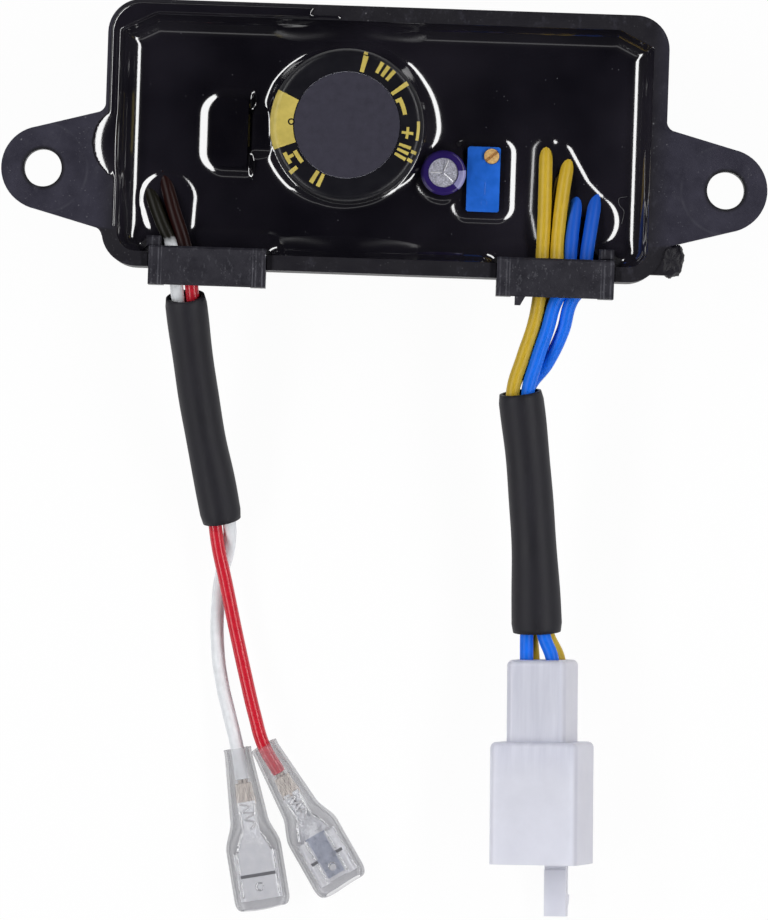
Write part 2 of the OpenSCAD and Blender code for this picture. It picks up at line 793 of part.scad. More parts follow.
module clamp_bridge() {
  cut = clamp_bevel * sqrt(2);
  difference() {
    translate([-clamp_w / 2, -case_l / 2 - clamp_out, seat_z])
      rotate([90, 0, 90])
        linear_extrude(clamp_w)
          clamp_section();
    for (side = [0, 1])
      mirror([side, 0, 0])
        translate([clamp_w / 2, -case_l / 2 - clamp_out - over, seat_z + clamp_t])
          rotate([0, 45, 0])
            cube([cut, clamp_out + clamp_in + 2 * over, cut]);
  }
}

module clamp_legs(from_y, depth, reach) {
  for (side = [0, 1])
    mirror([side, 0, 0])
      translate([clamp_w / 2 - leg_w, from_y, seat_z - reach])
        cube([leg_w, depth, reach + join]);
}

module clamp() {
  clamp_bridge();
  clamp_legs(-case_l / 2 - clamp_out, clamp_out, leg_outer);
  clamp_legs(-case_l / 2 + wall, clamp_inner_t, leg_inner);
}

// Broken moulding gate on the outer face of the right clamp
module clamp_nib() {
  translate([-clamp_w / 2 + leg_w + nib_w, -case_l / 2 - clamp_out + join, seat_z + clamp_bevel])
    linear_extrude(clamp_t - 2 * clamp_bevel)
      polygon([[-nib_w / 2, 0], [nib_w, 0], [nib_w / 4, -nib_l - join], [-nib_w / 2, -nib_l - join]]);
}

module wire_clamp_left() {
  color([0.17, 0.165, 0.19])
    translate([-clamp_x, case_y, 0])
      clamp();
}

module wire_clamp_right() {
  color([0.17, 0.165, 0.19])
    translate([clamp_x, case_y, 0]) {
      clamp();
      clamp_nib();
    }
}

// Potting

// The part of the rim that the potting ran over: the left side and most of the far left corner
module spill_region() {
  translate([-case_w, -case_l / 2 + corner_r + spill_from])
    square([case_w / 2 + spill_run, case_l]);
}

module spill_outline() {
  intersection() {
    union() {
      difference() {
        rounded_outline(case_w - 2 * skin_t, case_l - 2 * skin_t, corner_r - skin_t);
        rounded_outline(inner_w - 2 * skin_t, inner_l - 2 * skin_t, pan_r);
      }
      intersection() {
        translate([-case_w / 2 - spill_out + spill_r, -spill_y])
          circle(spill_r);
        translate([-case_w, -case_l])
          square([case_w / 2 + wall, 2 * case_l]);
      }
    }
    spill_region();
  }
}

module spill() {
  translate([0, 0, case_h])
    linear_extrude(spill_t)
      spill_outline();
  translate([0, 0, fill_z + pan_edge - join])
    linear_extrude(case_h + spill_t - fill_z - pan_edge + join)
      intersection() {
        difference() {
          rounded_outline(inner_w, inner_l, inner_r);
          rounded_outline(inner_w - 2 * skin_t, inner_l - 2 * skin_t, pan_r);
        }
        spill_region();
      }
}

// The poured mass with its hollow edge, before anything is set in it
module poured() {
  difference() {
    translate([0, 0, floor_t])
      linear_extrude(fill_z + pan_edge - floor_t)
        rounded_outline(inner_w, inner_l, inner_r);
    translate([0, 0, fill_z])
      rounded_block(inner_w - 2 * skin_t, inner_l - 2 * skin_t, case_h, pan_r, pan_edge);
  }
}

module collars() {
  translate([main_at[0], main_at[1], fill_z])
    rotate_extrude()
      collar_section(main_r, main_collar);
  translate([small_at[0], small_at[1], fill_z])
    rotate_extrude()
      collar_section(small_r, small_collar);
  translate([trim_at[0], trim_at[1], fill_z])
    block_collar(trim_w, trim_l, trim_bevel, trimmer_collar);
  translate([film_at[0], film_at[1], fill_z])
    block_collar(film_w, film_l, film_r, board_top + film_h + film_cover - fill_z);
}

// Room in the potting for a clamp's inner legs and for the wires that leave over the wall
module clamp_room() {
  clamp_legs(-case_l / 2 + wall, clamp_inner_t, leg_inner);
  translate([-clamp_w / 2 - clamp_clear, -case_l / 2, slot_z])
    cube([clamp_w + 2 * clamp_clear, clamp_in + meniscus, case_h]);
}

module potting() {
  color([0.02, 0.02, 0.025])
    difference() {
      in_tray()
        difference() {
          union() {
            poured();
            collars();
            spill();
          }
          pillars();
          corner_webs();
          for (x = [-1, 1])
            translate([x * clamp_x, 0, 0])
              clamp_room();
        }
      board_blank();
      main_envelope();
      small_envelope();
      trimmer_envelope();
      film_capacitor();
      power_transistor_body();
      power_transistor_tab();
      power_transistor_leads();
      rectifier_diodes();
      resistors();
      driver_transistor();
      main_capacitor_pins();
      small_capacitor_leads();
      trimmer_pins();
      film_capacitor_leads();
      for (route = [route_yellow_1, route_yellow_2, route_blue_1, route_blue_2, route_red, route_white])
        sunk_wire(route);
    }
}

// Circuit board

module board_blank() {
  in_tray()
    translate([-board_w / 2, -board_l / 2, board_z])
      cube([board_w, board_l, board_t]);
}

module circuit_board() {
  color([0.55, 0.45, 0.2])
    difference() {
      board_blank();
      in_tray()
        corner_webs();
      main_capacitor_pins();
      small_capacitor_leads();
      trimmer_pins();
      film_capacitor_leads();
      power_transistor_leads();
      rectifier_diodes();
      resistors();
      driver_transistor();
    }
}

// A row of round leads that pass through the board
module lead_row(count, pitch, d, lift) {
  for (i = [0:count - 1])
    translate([(i - (count - 1) / 2) * pitch, 0, -board_t - lead_tail])
      cylinder(d = d, h = board_t + lead_tail + lift);
}

// Main capacitor

// Half section of a can with a rounded end and a rolled groove near its foot
module can_section(d, h, edge) {
  difference() {
    union() {
      square([d / 2, h - edge]);
      square([d / 2 - edge, h]);
      translate([d / 2 - edge, h - edge])
        circle(edge);
    }
    translate([d / 2 + edge / 2, 3 * edge])
      circle(edge);
    translate([-d, 0])
      square([d, 2 * h]);
  }
}

// Half section of a shrink sleeve that wraps both ends of a can
module sleeve_section(d, h, edge, t, window) {
  fit = t / 10;
  difference() {
    union() {
      square([d / 2 + t, h + t - edge]);
      square([d / 2 + t - edge, h + t]);
      translate([d / 2 + t - edge, h + t - edge])
        circle(edge);
    }
    translate([-d, -over])
      square([d + d / 2 + fit, over + h + fit - edge]);
    translate([-d, -over])
      square([d + d / 2 + fit - edge, over + h + fit]);
    translate([d / 2 + fit - edge, h + fit - edge])
      circle(edge);
    translate([-d, -over])
      square([d + window / 2, h + 2 * over]);
  }
}

module main_envelope() {
  on_board(main_at)
    cylinder(r = main_r, h = main_h);
}

module main_capacitor_can() {
  color([0.7, 0.7, 0.72])
    on_board(main_at)
      rotate_extrude()
        can_section(main_d, main_h, main_edge);
}

module main_capacitor_sleeve() {
  color([0.06, 0.06, 0.07])
    on_board(main_at)
      rotate_extrude()
        sleeve_section(main_d, main_h, main_edge, main_sleeve_t, main_window_d);
}

module main_capacitor_end_disc() {
  color([0.23, 0.22, 0.26])
    on_board(main_at, main_h)
      cylinder(d = main_window_d - main_sleeve_t, h = disc_t);
}

module main_capacitor_pins() {
  color([0.75, 0.75, 0.77])
    on_board(main_at)
      lead_row(2, main_pitch, main_pin_d, 0);
}

// Small capacitor

module small_envelope() {
  on_board(small_at)
    cylinder(r = small_r, h = small_h);
}

module small_capacitor_can() {
  color([0.78, 0.78, 0.8])
    on_board(small_at)
      difference() {
        rotate_extrude()
          can_section(small_d, small_h, small_edge);
        for (turn = [90:120:330])
          rotate([0, 0, turn])
            translate([-vent_w / 2, -vent_w / 2, small_h - vent_depth])
              cube([(small_window_d - vent_w) / 2, vent_w, over]);
      }
}

module small_capacitor_sleeve() {
  color([0.2, 0.15, 0.42])
    on_board(small_at)
      rotate_extrude()
        sleeve_section(small_d, small_h, small_edge, small_sleeve_t, small_window_d);
}

module small_capacitor_leads() {
  color([0.75, 0.75, 0.77])
    on_board(small_at)
      lead_row(2, small_pitch, small_lead_d, 0);
}

// Trimmer

module trimmer_outline() {
  w = trim_w / 2;
  l = trim_l / 2;
  b = trim_bevel;
  polygon([
    [-w + b, -l], [w - b, -l], [w, -l + b], [w, l - b], [w - b, l], [-w + b, l], [-w, l - b], [-w, -l + b]
  ]);
}

module trimmer_envelope() {
  on_board(trim_at)
    linear_extrude(trim_h)
      trimmer_outline();
}

module trimmer_housing() {
  bed = trim_h + screw_proud - screw_head - screw_clear;
  color([0.1, 0.37, 0.8])
    on_board(trim_at)
      difference() {
        linear_extrude(trim_h)
          trimmer_outline();
        for (y = [-1, 1])
          translate([-trim_w, y * trim_l / 4 - trim_l / 8, -over])
            cube([2 * trim_w, trim_l / 4, over + trim_foot]);
        translate([screw_at[0], screw_at[1], bed])
          cylinder(d = screw_d + 2 * screw_clear, h = trim_h);
        translate([screw_at[0], screw_at[1], bed - stem_l - screw_clear])
          cylinder(d = stem_d + 2 * screw_clear, h = trim_h);
      }
}

module trimmer_screw() {
  top = trim_h + screw_proud;
  color([0.8, 0.6, 0.3])
    on_board([trim_at[0] + screw_at[0], trim_at[1] + screw_at[1]])
      difference() {
        union() {
          translate([0, 0, top - screw_head])
            cylinder(d = screw_d, h = screw_head);
          translate([0, 0, top - screw_head - stem_l])
            cylinder(d = stem_d, h = stem_l + join);
        }
        rotate([0, 0, screw_turn])
          translate([-screw_d, -screw_slot_w / 2, top - screw_slot_h])
            cube([2 * screw_d, screw_slot_w, screw_head]);
      }
}

module trimmer_pins() {
  color([0.75, 0.75, 0.77])
    on_board(trim_at)
      rotate([0, 0, 90])
        lead_row(3, trim_pitch, trim_pin_d, 0);
}

// Film capacitor

module film_capacitor() {
  color([0.1, 0.1, 0.1])
    on_board(film_at)
      linear_extrude(film_h)
        rounded_outline(film_w, film_l, film_r);
}

module film_capacitor_leads() {
  color([0.75, 0.75, 0.77])
    on_board(film_at)
      rotate([0, 0, 90])
        lead_row(2, film_pitch, film_lead_d, 0);
}

// Power transistor, lying on its tab with its leads towards the middle of the tray

module power_transistor_tab() {
  color([0.7, 0.7, 0.72])
    on_board(power_at)
      difference() {
        translate([-power_tab_l / 2, -power_w / 2, 0])
          cube([power_tab_l, power_w, power_tab_t]);
        translate([power_body_l / 2, 0, -over])
          cylinder(d = power_hole_d, h = power_tab_t + 2 * over);
      }
}

module power_transistor_body() {
  color([0.08, 0.08, 0.08])
    on_board(power_at, power_tab_t)
      translate([-power_tab_l / 2, -power_w / 2, 0])
        cube([power_body_l, power_w, power_body_t]);
}

module power_transistor_leads() {
  color([0.75, 0.75, 0.77])
    on_board(power_at)
      for (i = [-1:1])
        translate([-power_tab_l / 2, i * power_pitch - power_lead_w / 2, 0]) {
          translate([-power_lead_out, 0, power_tab_t])
            cube([power_lead_out, power_lead_w, power_lead_w]);
          translate([-power_lead_out, 0, -board_t - lead_tail])
            cube([power_lead_w, power_lead_w, board_t + lead_tail + power_tab_t + power_lead_w]);
        }
}

// Small parts on the board

// Lying part with a lead bent down at each end, along X
module axial_part(d, l, lead_d, span) {
  translate([0, 0, d / 2]) {
    rotate([0, 90, 0]) {
      cylinder(d = d, h = l, center = true);
      cylinder(d = lead_d, h = span, center = true);
    }
    for (x = [-1, 1])
      translate([x * span / 2, 0, 0]) {
        sphere(d = lead_d);
        translate([0, 0, -d / 2 - board_t - lead_tail])
          cylinder(d = lead_d, h = d / 2 + board_t + lead_tail);
      }
  }
}

module rectifier_diodes() {
  color([0.1, 0.1, 0.1])
    for (i = [0:diode_count - 1])
      on_board([diodes_at[0], diodes_at[1] + (i - (diode_count - 1) / 2) * diode_step])
        axial_part(diode_d, diode_l, diode_lead_d, diode_span);
}

module resistors() {
  color([0.75, 0.65, 0.5])
    for (i = [0:resistor_count - 1])
      on_board([resistors_at[0] + (i - (resistor_count - 1) / 2) * resistor_step, resistors_at[1]])
        axial_part(resistor_d, resistor_l, resistor_lead_d, resistor_span);
}

module driver_transistor() {
  color([0.08, 0.08, 0.08])
    on_board(driver_at) {
      translate([0, 0, driver_lift])
        difference() {
          cylinder(d = driver_d, h = driver_h);
          translate([-driver_d, -driver_d / 2 - driver_d + driver_flat, -over])
            cube([2 * driver_d, driver_d, driver_h + 2 * over]);
        }
      lead_row(3, driver_pitch, driver_lead_d, driver_lift + join);
    }
}

// Leads

module wire_white() {
  color([0.9, 0.9, 0.92])
    wire(route_white);
}

module wire_red() {
  color([0.82, 0.16, 0.2])
    wire(route_red);
}

module wire_yellow_1() {
  color([0.8, 0.68, 0.18])
    wire(route_yellow_1);
}

module wire_yellow_2() {
  color([0.8, 0.68, 0.18])
    wire(route_yellow_2);
}

module wire_blue_1() {
  color([0.1, 0.36, 0.85])
    wire(route_blue_1);
}

module wire_blue_2() {
  color([0.1, 0.36, 0.85])
    wire(route_blue_2);
}

// Open tube along a route, from half widths and half heights at each point
module sleeve(route, w, h) {
  hollow_loft(
    rings(route, w, h, sleeve_sides),
    rings(route, w - even(route, sleeve_t), h - even(route, sleeve_t), sleeve_sides)
  );
}

module sleeve_left() {
  half = even(route_sleeve_left, sleeve_left_r);
  color([0.18, 0.175, 0.2])
    sleeve(route_sleeve_left, half, half);
}

module sleeve_right() {
  last = len(route_sleeve_right) - 1;
  flared = [for (i = [0:last]) sleeve_right_r + sleeve_flare * pow(i / last, 3)];
  color([0.18, 0.175, 0.2])
    sleeve(route_sleeve_right, flared, even(route_sleeve_right, sleeve_right_r));
}

// Spade receptacles: their own frame runs towards -Y from the narrow end of the cover

// Section of the rolled part: a floor and two edges rolled up and over
module socket_section() {
  middle = tab_w / 2 - metal_t / 2;
  translate([-middle, -roll_r])
    square([2 * middle, metal_t]);
  for (side = [0, 1])
    mirror([side, 0])
      translate([middle, 0])
        difference() {
          circle(roll_r);
          circle(roll_r - metal_t);
          translate([-2 * roll_r, -roll_r + metal_t])
            square([2 * roll_r - roll_lip, roll_r]);
        }
}

module socket_rolled() {
  difference() {
    translate([0, -socket_start, 0])
      rotate([90, 0, 0])
        linear_extrude(socket_l)
          socket_section();
    translate([-tab_w / 2 - metal_t / 2, -socket_start - slot_at - socket_slot, -2 * roll_r])
      cube([tab_w + metal_t, socket_slot, 4 * roll_r]);
  }
  translate([0, -socket_start - (slot_at + socket_slot + socket_l) / 2, -roll_r + metal_t - join])
    cylinder(r = dimple_r, h = join + metal_t / 2);
}

// Strip that joins the neck to the rolled part, with folded sides
module socket_flare() {
  wide = tab_w / 2;
  narrow = neck_w / 2;
  far = -socket_start - join;
  near = -flare_start;
  back = -flare_start + neck_l + join;
  translate([0, 0, -roll_r]) {
    linear_extrude(metal_t)
      polygon([
        [-wide, far], [-narrow, near], [-narrow, back], [narrow, back], [narrow, near], [wide, far]
      ]);
    linear_extrude(side_h)
      for (side = [0, 1])
        mirror([side, 0])
          polygon([
            [wide, far], [wide + metal_t / 2, far], [narrow + metal_t / 2, near],
            [narrow + metal_t / 2, back], [narrow - metal_t / 2, back], [narrow - metal_t / 2, near]
          ]);
  }
}

// Section of the crimped barrel: two lobes folded down onto the strands
module crimp_section() {
  lobe = crimp_w / 4;
  translate([0, crimp_h / 2 - roll_r])
    difference() {
      union() {
        translate([-crimp_w / 2, -crimp_h / 2])
          square([crimp_w, crimp_h - lobe]);
        for (x = [-1, 1])
          translate([x * lobe, crimp_h / 2 - lobe])
            circle(lobe);
      }
      circle(d = strand_d);
    }
}

module spade() {
  socket_rolled();
  socket_flare();
  translate([0, -crimp_start, 0])
    rotate([90, 0, 0])
      linear_extrude(crimp_l)
        crimp_section();
}

// Seven twisted strands, from the end of the insulation into the barrel
module strands() {
  one = strand_d / 3;
  translate([0, -strand_start, crimp_h / 2 - roll_r])
    rotate([90, 0, 0]) {
      cylinder(d = one + join, h = strand_l + crimp_l);
      for (k = [0:5])
        rotate([0, 0, 60 * k])
          translate([one, 0, 0])
            cylinder(d = one - strand_gap, h = strand_l + crimp_l);
    }
}

// Clear covers

// One loop of a cover: a rounded rectangle that is a circle where it is as wide as high
function cover_loop(y, w, h, power) = [
  for (k = [0:cover_sides - 1])
    let (a = 360 * (k + 0.5) / cover_sides, c = cos(a), s = sin(a))
    [-w * sign(c) * pow(abs(c), 2 / power), -y, h * sign(s) * pow(abs(s), 2 / power)]
];

function cover_loops(inset) =
  let (
    narrow = cover_d / 2 - inset,
    neck = cover_neck_w / 2 - inset,
    wide = cover_w / 2 - inset,
    high = cover_h / 2 - inset
  )
  concat(
    [cover_loop(0, narrow, narrow, 2), cover_loop(cover_neck_l, neck, high, 2)],
    [for (t = [1:cover_steps])
      let (e = (1 - cos(180 * t / cover_steps)) / 2, y = cover_neck_l + cover_flare_l * t / cover_steps)
      cover_loop(y, neck + (wide - neck) * e, high, 2 + (cover_square - 2) * e)],
    [cover_loop(cover_l, wide, high, cover_square)]
  );

module cover() {
  hollow_loft(cover_loops(0), cover_loops(cover_t));
}

module place_white() {
  translate(white_at)
    rotate([0, 0, white_turn])
      children();
}

module place_red() {
  translate(red_at)
    rotate([red_fall, 0, red_turn])
      children();
}

module spade_white() {
  color([0.72, 0.72, 0.75])
    place_white()
      rotate([0, 180, 0])
        spade();
}

module spade_red() {
  color([0.72, 0.72, 0.75])
    place_red()
      spade();
}

module strands_white() {
  color([0.75, 0.7, 0.62])
    place_white()
      rotate([0, 180, 0])
        strands();
}

module strands_red() {
  color([0.75, 0.7, 0.62])
    place_red()
      strands();
}

module spade_cover_white() {
  color([0.85, 0.86, 0.9, 0.5])
    place_white()
      cover();
}

module spade_cover_red() {
  color([0.85, 0.86, 0.9, 0.5])
    place_red()
      cover();
}

// Plug: its own frame runs towards -Y from the wire end

module place_plug() {
  translate(plug_at)
    rotate([0, -plug_roll, plug_turn])
      children();
}

// Block that runs from y towards -Y, with round edges and a rounded end towards the wires
module plug_block(y, w, d, l) {
  translate([0, y, 0])
    rotate([90, 0, 0])
      rounded_block(w, d, l, plug_r, plug_r - join);
}

module each_chamber() {
  for (x = [-1, 1], z = [-1, 1])
    translate([x * chamber_pitch / 2, 0, z * chamber_pitch / 2])
      children();
}

module locking_finger() {
  mouth = -rear_l - shroud_l;
  translate([finger_x - finger_w / 2, mouth - finger_l, -shroud_d / 2])
    cube([finger_w, finger_l + shroud_t, finger_t]);
  translate([finger_x - finger_w / 2, mouth - finger_l + barb_h, -shroud_d / 2])
    rotate([90, 0, 90])
      linear_extrude(finger_w)
        polygon([[0, join], [barb_l - barb_h, -barb_h], [barb_l, -barb_h], [barb_l, join]]);
}

module plug_housing() {
  cavity_l = shroud_l - bulkhead_t;
  color([0.87, 0.87, 0.91])
    place_plug()
      difference() {
        union() {
          plug_block(0, rear_w, rear_d, rear_l + bulkhead_t);
          plug_block(-rear_l, shroud_w, shroud_d, shroud_l);
          locking_finger();
        }
        translate([0, -rear_l - bulkhead_t, 0])
          rotate([90, 0, 0])
            linear_extrude(cavity_l + over)
              rounded_outline(shroud_w - 2 * shroud_t, shroud_d - 2 * shroud_t, plug_r / 2);
        each_chamber()
          translate([-chamber_w / 2, -rear_l - bulkhead_t - over, -chamber_w / 2])
            cube([chamber_w, rear_l + bulkhead_t + 2 * over, chamber_w]);
      }
}

// Contacts: a folded box that fills the chamber and a flat blade with a pointed end
module plug_contact() {
  body_w = chamber_w - contact_clear;
  box_l = rear_l + bulkhead_t - contact_in;
  tip = -rear_l - bulkhead_t - blade_l;
  translate([-body_w / 2, -contact_in - box_l, -body_w / 2])
    cube([body_w, box_l, body_w]);
  translate([0, 0, -blade_t / 2])
    linear_extrude(blade_t)
      polygon([
        [-blade_w / 2, -contact_in - box_l + join], [blade_w / 2, -contact_in - box_l + join],
        [blade_w / 2, tip + blade_w / 2], [blade_w / 4, tip], [-blade_w / 4, tip],
        [-blade_w / 2, tip + blade_w / 2]
      ]);
}

module plug_contacts() {
  color([0.8, 0.65, 0.35])
    place_plug()
      each_chamber()
        plug_contact();
}

case();
potting();
circuit_board();
wire_clamp_left();
wire_clamp_right();
main_capacitor_can();
main_capacitor_sleeve();
main_capacitor_end_disc();
main_capacitor_pins();
small_capacitor_can();
small_capacitor_sleeve();
small_capacitor_leads();
trimmer_housing();
trimmer_screw();
trimmer_pins();
film_capacitor();
film_capacitor_leads();
power_transistor_body();
power_transistor_tab();
power_transistor_leads();
rectifier_diodes();
resistors();
driver_transistor();
wire_white();
wire_red();
wire_yellow_1();
wire_yellow_2();
wire_blue_1();
wire_blue_2();
sleeve_left();
sleeve_right();
spade_white();
spade_red();
strands_white();
strands_red();
spade_cover_white();
spade_cover_red();
plug_housing();
plug_contacts();
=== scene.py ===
import math

import bpy
import numpy as np
from mathutils import Matrix, Vector


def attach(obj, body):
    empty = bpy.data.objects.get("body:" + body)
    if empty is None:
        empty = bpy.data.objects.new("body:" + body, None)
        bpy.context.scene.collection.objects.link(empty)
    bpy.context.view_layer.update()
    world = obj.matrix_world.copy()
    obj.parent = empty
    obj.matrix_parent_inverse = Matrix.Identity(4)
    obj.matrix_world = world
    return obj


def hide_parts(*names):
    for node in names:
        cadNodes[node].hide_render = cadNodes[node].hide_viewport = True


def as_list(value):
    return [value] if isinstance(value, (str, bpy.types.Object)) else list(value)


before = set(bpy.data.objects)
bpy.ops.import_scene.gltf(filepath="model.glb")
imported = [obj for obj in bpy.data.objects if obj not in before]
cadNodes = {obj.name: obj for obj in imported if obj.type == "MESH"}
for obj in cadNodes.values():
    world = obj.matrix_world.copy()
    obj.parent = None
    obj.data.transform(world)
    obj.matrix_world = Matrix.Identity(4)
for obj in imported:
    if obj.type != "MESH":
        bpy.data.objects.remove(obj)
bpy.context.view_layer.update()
scene = bpy.context.scene
scene.view_settings.view_transform = "Standard"
mm = 0.001
print("frame loaded:", len(cadNodes), "nodes")

# camera: straight down from far above, turned a little, in the row frame
cameraView = {"eye": (1.34, -44.79, 1518), "rimHeight": 18, "fieldHigh": 134.62, "turn": 1.93, "sensor": 36,
              "clip": (0.05, 20)}
cameraData = bpy.data.cameras.new("camera")
cameraData.sensor_width = cameraView["sensor"]
toRim = cameraView["eye"][2] - cameraView["rimHeight"]
cameraData.lens = cameraView["sensor"] * toRim / cameraView["fieldHigh"]
cameraData.clip_start, cameraData.clip_end = cameraView["clip"]
camera = bpy.data.objects.new("camera", cameraData)
camera.location = Vector(cameraView["eye"]) * mm
camera.rotation_euler = (0, 0, math.radians(cameraView["turn"]))
scene.collection.objects.link(camera)
scene.camera = camera
print("camera set")

# shader building
cloudRange = (0.3, 0.7)  # where a noise has most of its values
socketNames = {
    "colour": "Base Color", "roughness": "Roughness", "metallic": "Metallic", "ior": "IOR", "alpha": "Alpha",
    "specular": "Specular IOR Level", "normal": "Normal", "subsurface": "Subsurface Weight",
    "subsurfaceScale": "Subsurface Scale", "subsurfaceRadius": "Subsurface Radius",
}


def shade(colour, factor):
    return tuple(min(1.0, part * factor) for part in colour)


def metres(*lengths):
    return [length * mm for length in lengths]


class NodeKit:
    # short ways to add the usual nodes to a tree
    def __init__(self, tree, coordinates):
        self.tree = tree
        self.place = self.node("TexCoord").outputs[coordinates]

    def fill(self, socket, value):
        # with what another node gives, or with a number, a direction or a colour
        if isinstance(value, bpy.types.NodeSocket):
            self.tree.links.new(value, socket)
        else:
            socket.default_value = (*value, 1) if socket.type == "RGBA" else value

    def node(self, kind, sockets=None, **settings):
        made = self.tree.nodes.new("ShaderNode" + kind)
        for name, value in settings.items():
            setattr(made, name, value)
        for name, value in (sockets or {}).items():
            self.fill(made.inputs[name], value)
        return made

    def spread(self, value, low, high, toLow, toHigh, **settings):
        ends = {"From Min": low, "From Max": high, "To Min": toLow, "To Max": toHigh}
        return self.node("MapRange", {"Value": value, **ends}, **settings).outputs["Result"]

    def math(self, operation, *values):
        return self.node("Math", dict(enumerate(values)), operation=operation).outputs[0]

    def axis(self, letter, vector=None):
        return self.node("SeparateXYZ", {0: vector or self.place}).outputs[letter]


class Finish(NodeKit):
    # one material and its main shader
    def __init__(self, name):
        self.material = bpy.data.materials.new(name)
        self.material.use_nodes = True
        super().__init__(self.material.node_tree, "Object")
        self.shader = self.tree.nodes["Principled BSDF"]

    def put(self, **sockets):
        for name, value in sockets.items():
            self.fill(self.shader.inputs[socketNames[name]], value)
        return self

    def stretched(self, scale, turn=(0, 0, 0)):
        return self.node("Mapping", {"Vector": self.place, "Scale": scale, "Rotation": turn}).outputs["Vector"]

    def noise(self, scale, detail=4, roughness=0.5, where=None):
        return self.node("TexNoise", {"Scale": scale, "Detail": detail, "Roughness": roughness,
                                      "Vector": where or self.place}).outputs["Fac"]

    def specks(self, scale, size, patch, low, high, show):
        # round specks that come in patches
        cells = self.node("TexVoronoi", {"Scale": scale, "Vector": self.place})
        spots = self.spread(cells.outputs["Distance"], size, 0, 0, 1)
        return self.math("MULTIPLY", spots, self.spread(self.noise(*patch), low, high, 0, show))

    def along(self, way):
        # distance along a direction
        return self.node("VectorMath", {0: self.place, 1: way}, operation="DOT_PRODUCT").outputs["Value"]

    def mix(self, factor, first, second):
        # a colour mix takes its colours at sockets 6 and 7 and gives its result at 2
        return self.node("Mix", {"Factor": factor, 6: first, 7: second}, data_type="RGBA").outputs[2]

    def between(self, cloud, low, high):
        return self.spread(cloud, *cloudRange, low, high)

    def clouded(self, cloud, colour, dark, pale):
        return self.mix(self.between(cloud, 0, 1), shade(colour, dark), shade(colour, pale))

    def roughAround(self, cloud, middle, vary):
        return self.between(cloud, middle - vary, middle + vary)

    def bump(self, height, strength, depth):
        made = self.node("Bump", {"Height": height, "Strength": strength, "Distance": depth})
        return self.put(normal=made.outputs["Normal"])

    def grain(self, scale, detail, strength, depth, roughness=0.5):
        return self.bump(self.noise(scale, detail, roughness), strength, depth)


# mesh building
softEdge = {"segments": 2, "angle": 35}


def addPiece(name, points, faces, smooth=True):
    mesh = bpy.data.meshes.new(name)
    mesh.from_pydata([tuple(p) for p in points], [], faces)
    mesh.validate()
    if smooth:
        mesh.polygons.foreach_set("use_smooth", [True] * len(mesh.polygons))
    piece = bpy.data.objects.new(name, mesh)
    scene.collection.objects.link(piece)
    return piece


def dress(piece, material, stands=()):
    piece.data.materials.clear()
    piece.data.materials.append(material)
    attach(piece, "main")
    if stands:
        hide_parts(*stands)
    return piece


def paintNode(name, material, edge=0.0):
    node = cadNodes[name]
    node.data.materials.clear()
    node.data.materials.append(material)
    if edge:
        softer = node.modifiers.new("softEdge", "BEVEL")
        softer.width = edge * mm
        softer.segments = softEdge["segments"]
        softer.limit_method = "ANGLE"
        softer.angle_limit = math.radians(softEdge["angle"])
        softer.harden_normals = True


def joined(parts):
    # several meshes as one
    points, faces = [], []
    for morePoints, moreFaces in parts:
        faces += [tuple(len(points) + k for k in face) for face in moreFaces]
        points += morePoints
    return points, faces


def ringFaces(rings, sides, closed=False, flip=False):
    # faces between rings of points, and from the last ring to the first when closed
    faces = []
    for r in range(rings if closed else rings - 1):
        this, following = r * sides, (r + 1) % rings * sides
        for k in range(sides):
            n = (k + 1) % sides
            a, b, c, d = this + k, this + n, following + n, following + k
            faces.append((a, d, c, b) if flip else (a, b, c, d))
    return faces


def flatRing(centre, circles, sides=24):
    # ring round a point, through circles given as radius and height
    points, faces = [], []
    count = len(circles)
    for k in range(sides):
        turn = 2 * math.pi * k / sides
        way = Vector((math.cos(turn), math.sin(turn), 0))
        points += [(Vector(centre) + way * radius + Vector((0, 0, up))) * mm for radius, up in circles]
        a, b = count * k, count * ((k + 1) % sides)
        faces += [(a + c, a + c + 1, b + c + 1, b + c) for c in range(count - 1)]
    return points, faces


def fadeIn(value, low, high):
    t = np.clip((value - low) / (high - low), 0, 1)
    return t * t * (3 - 2 * t)


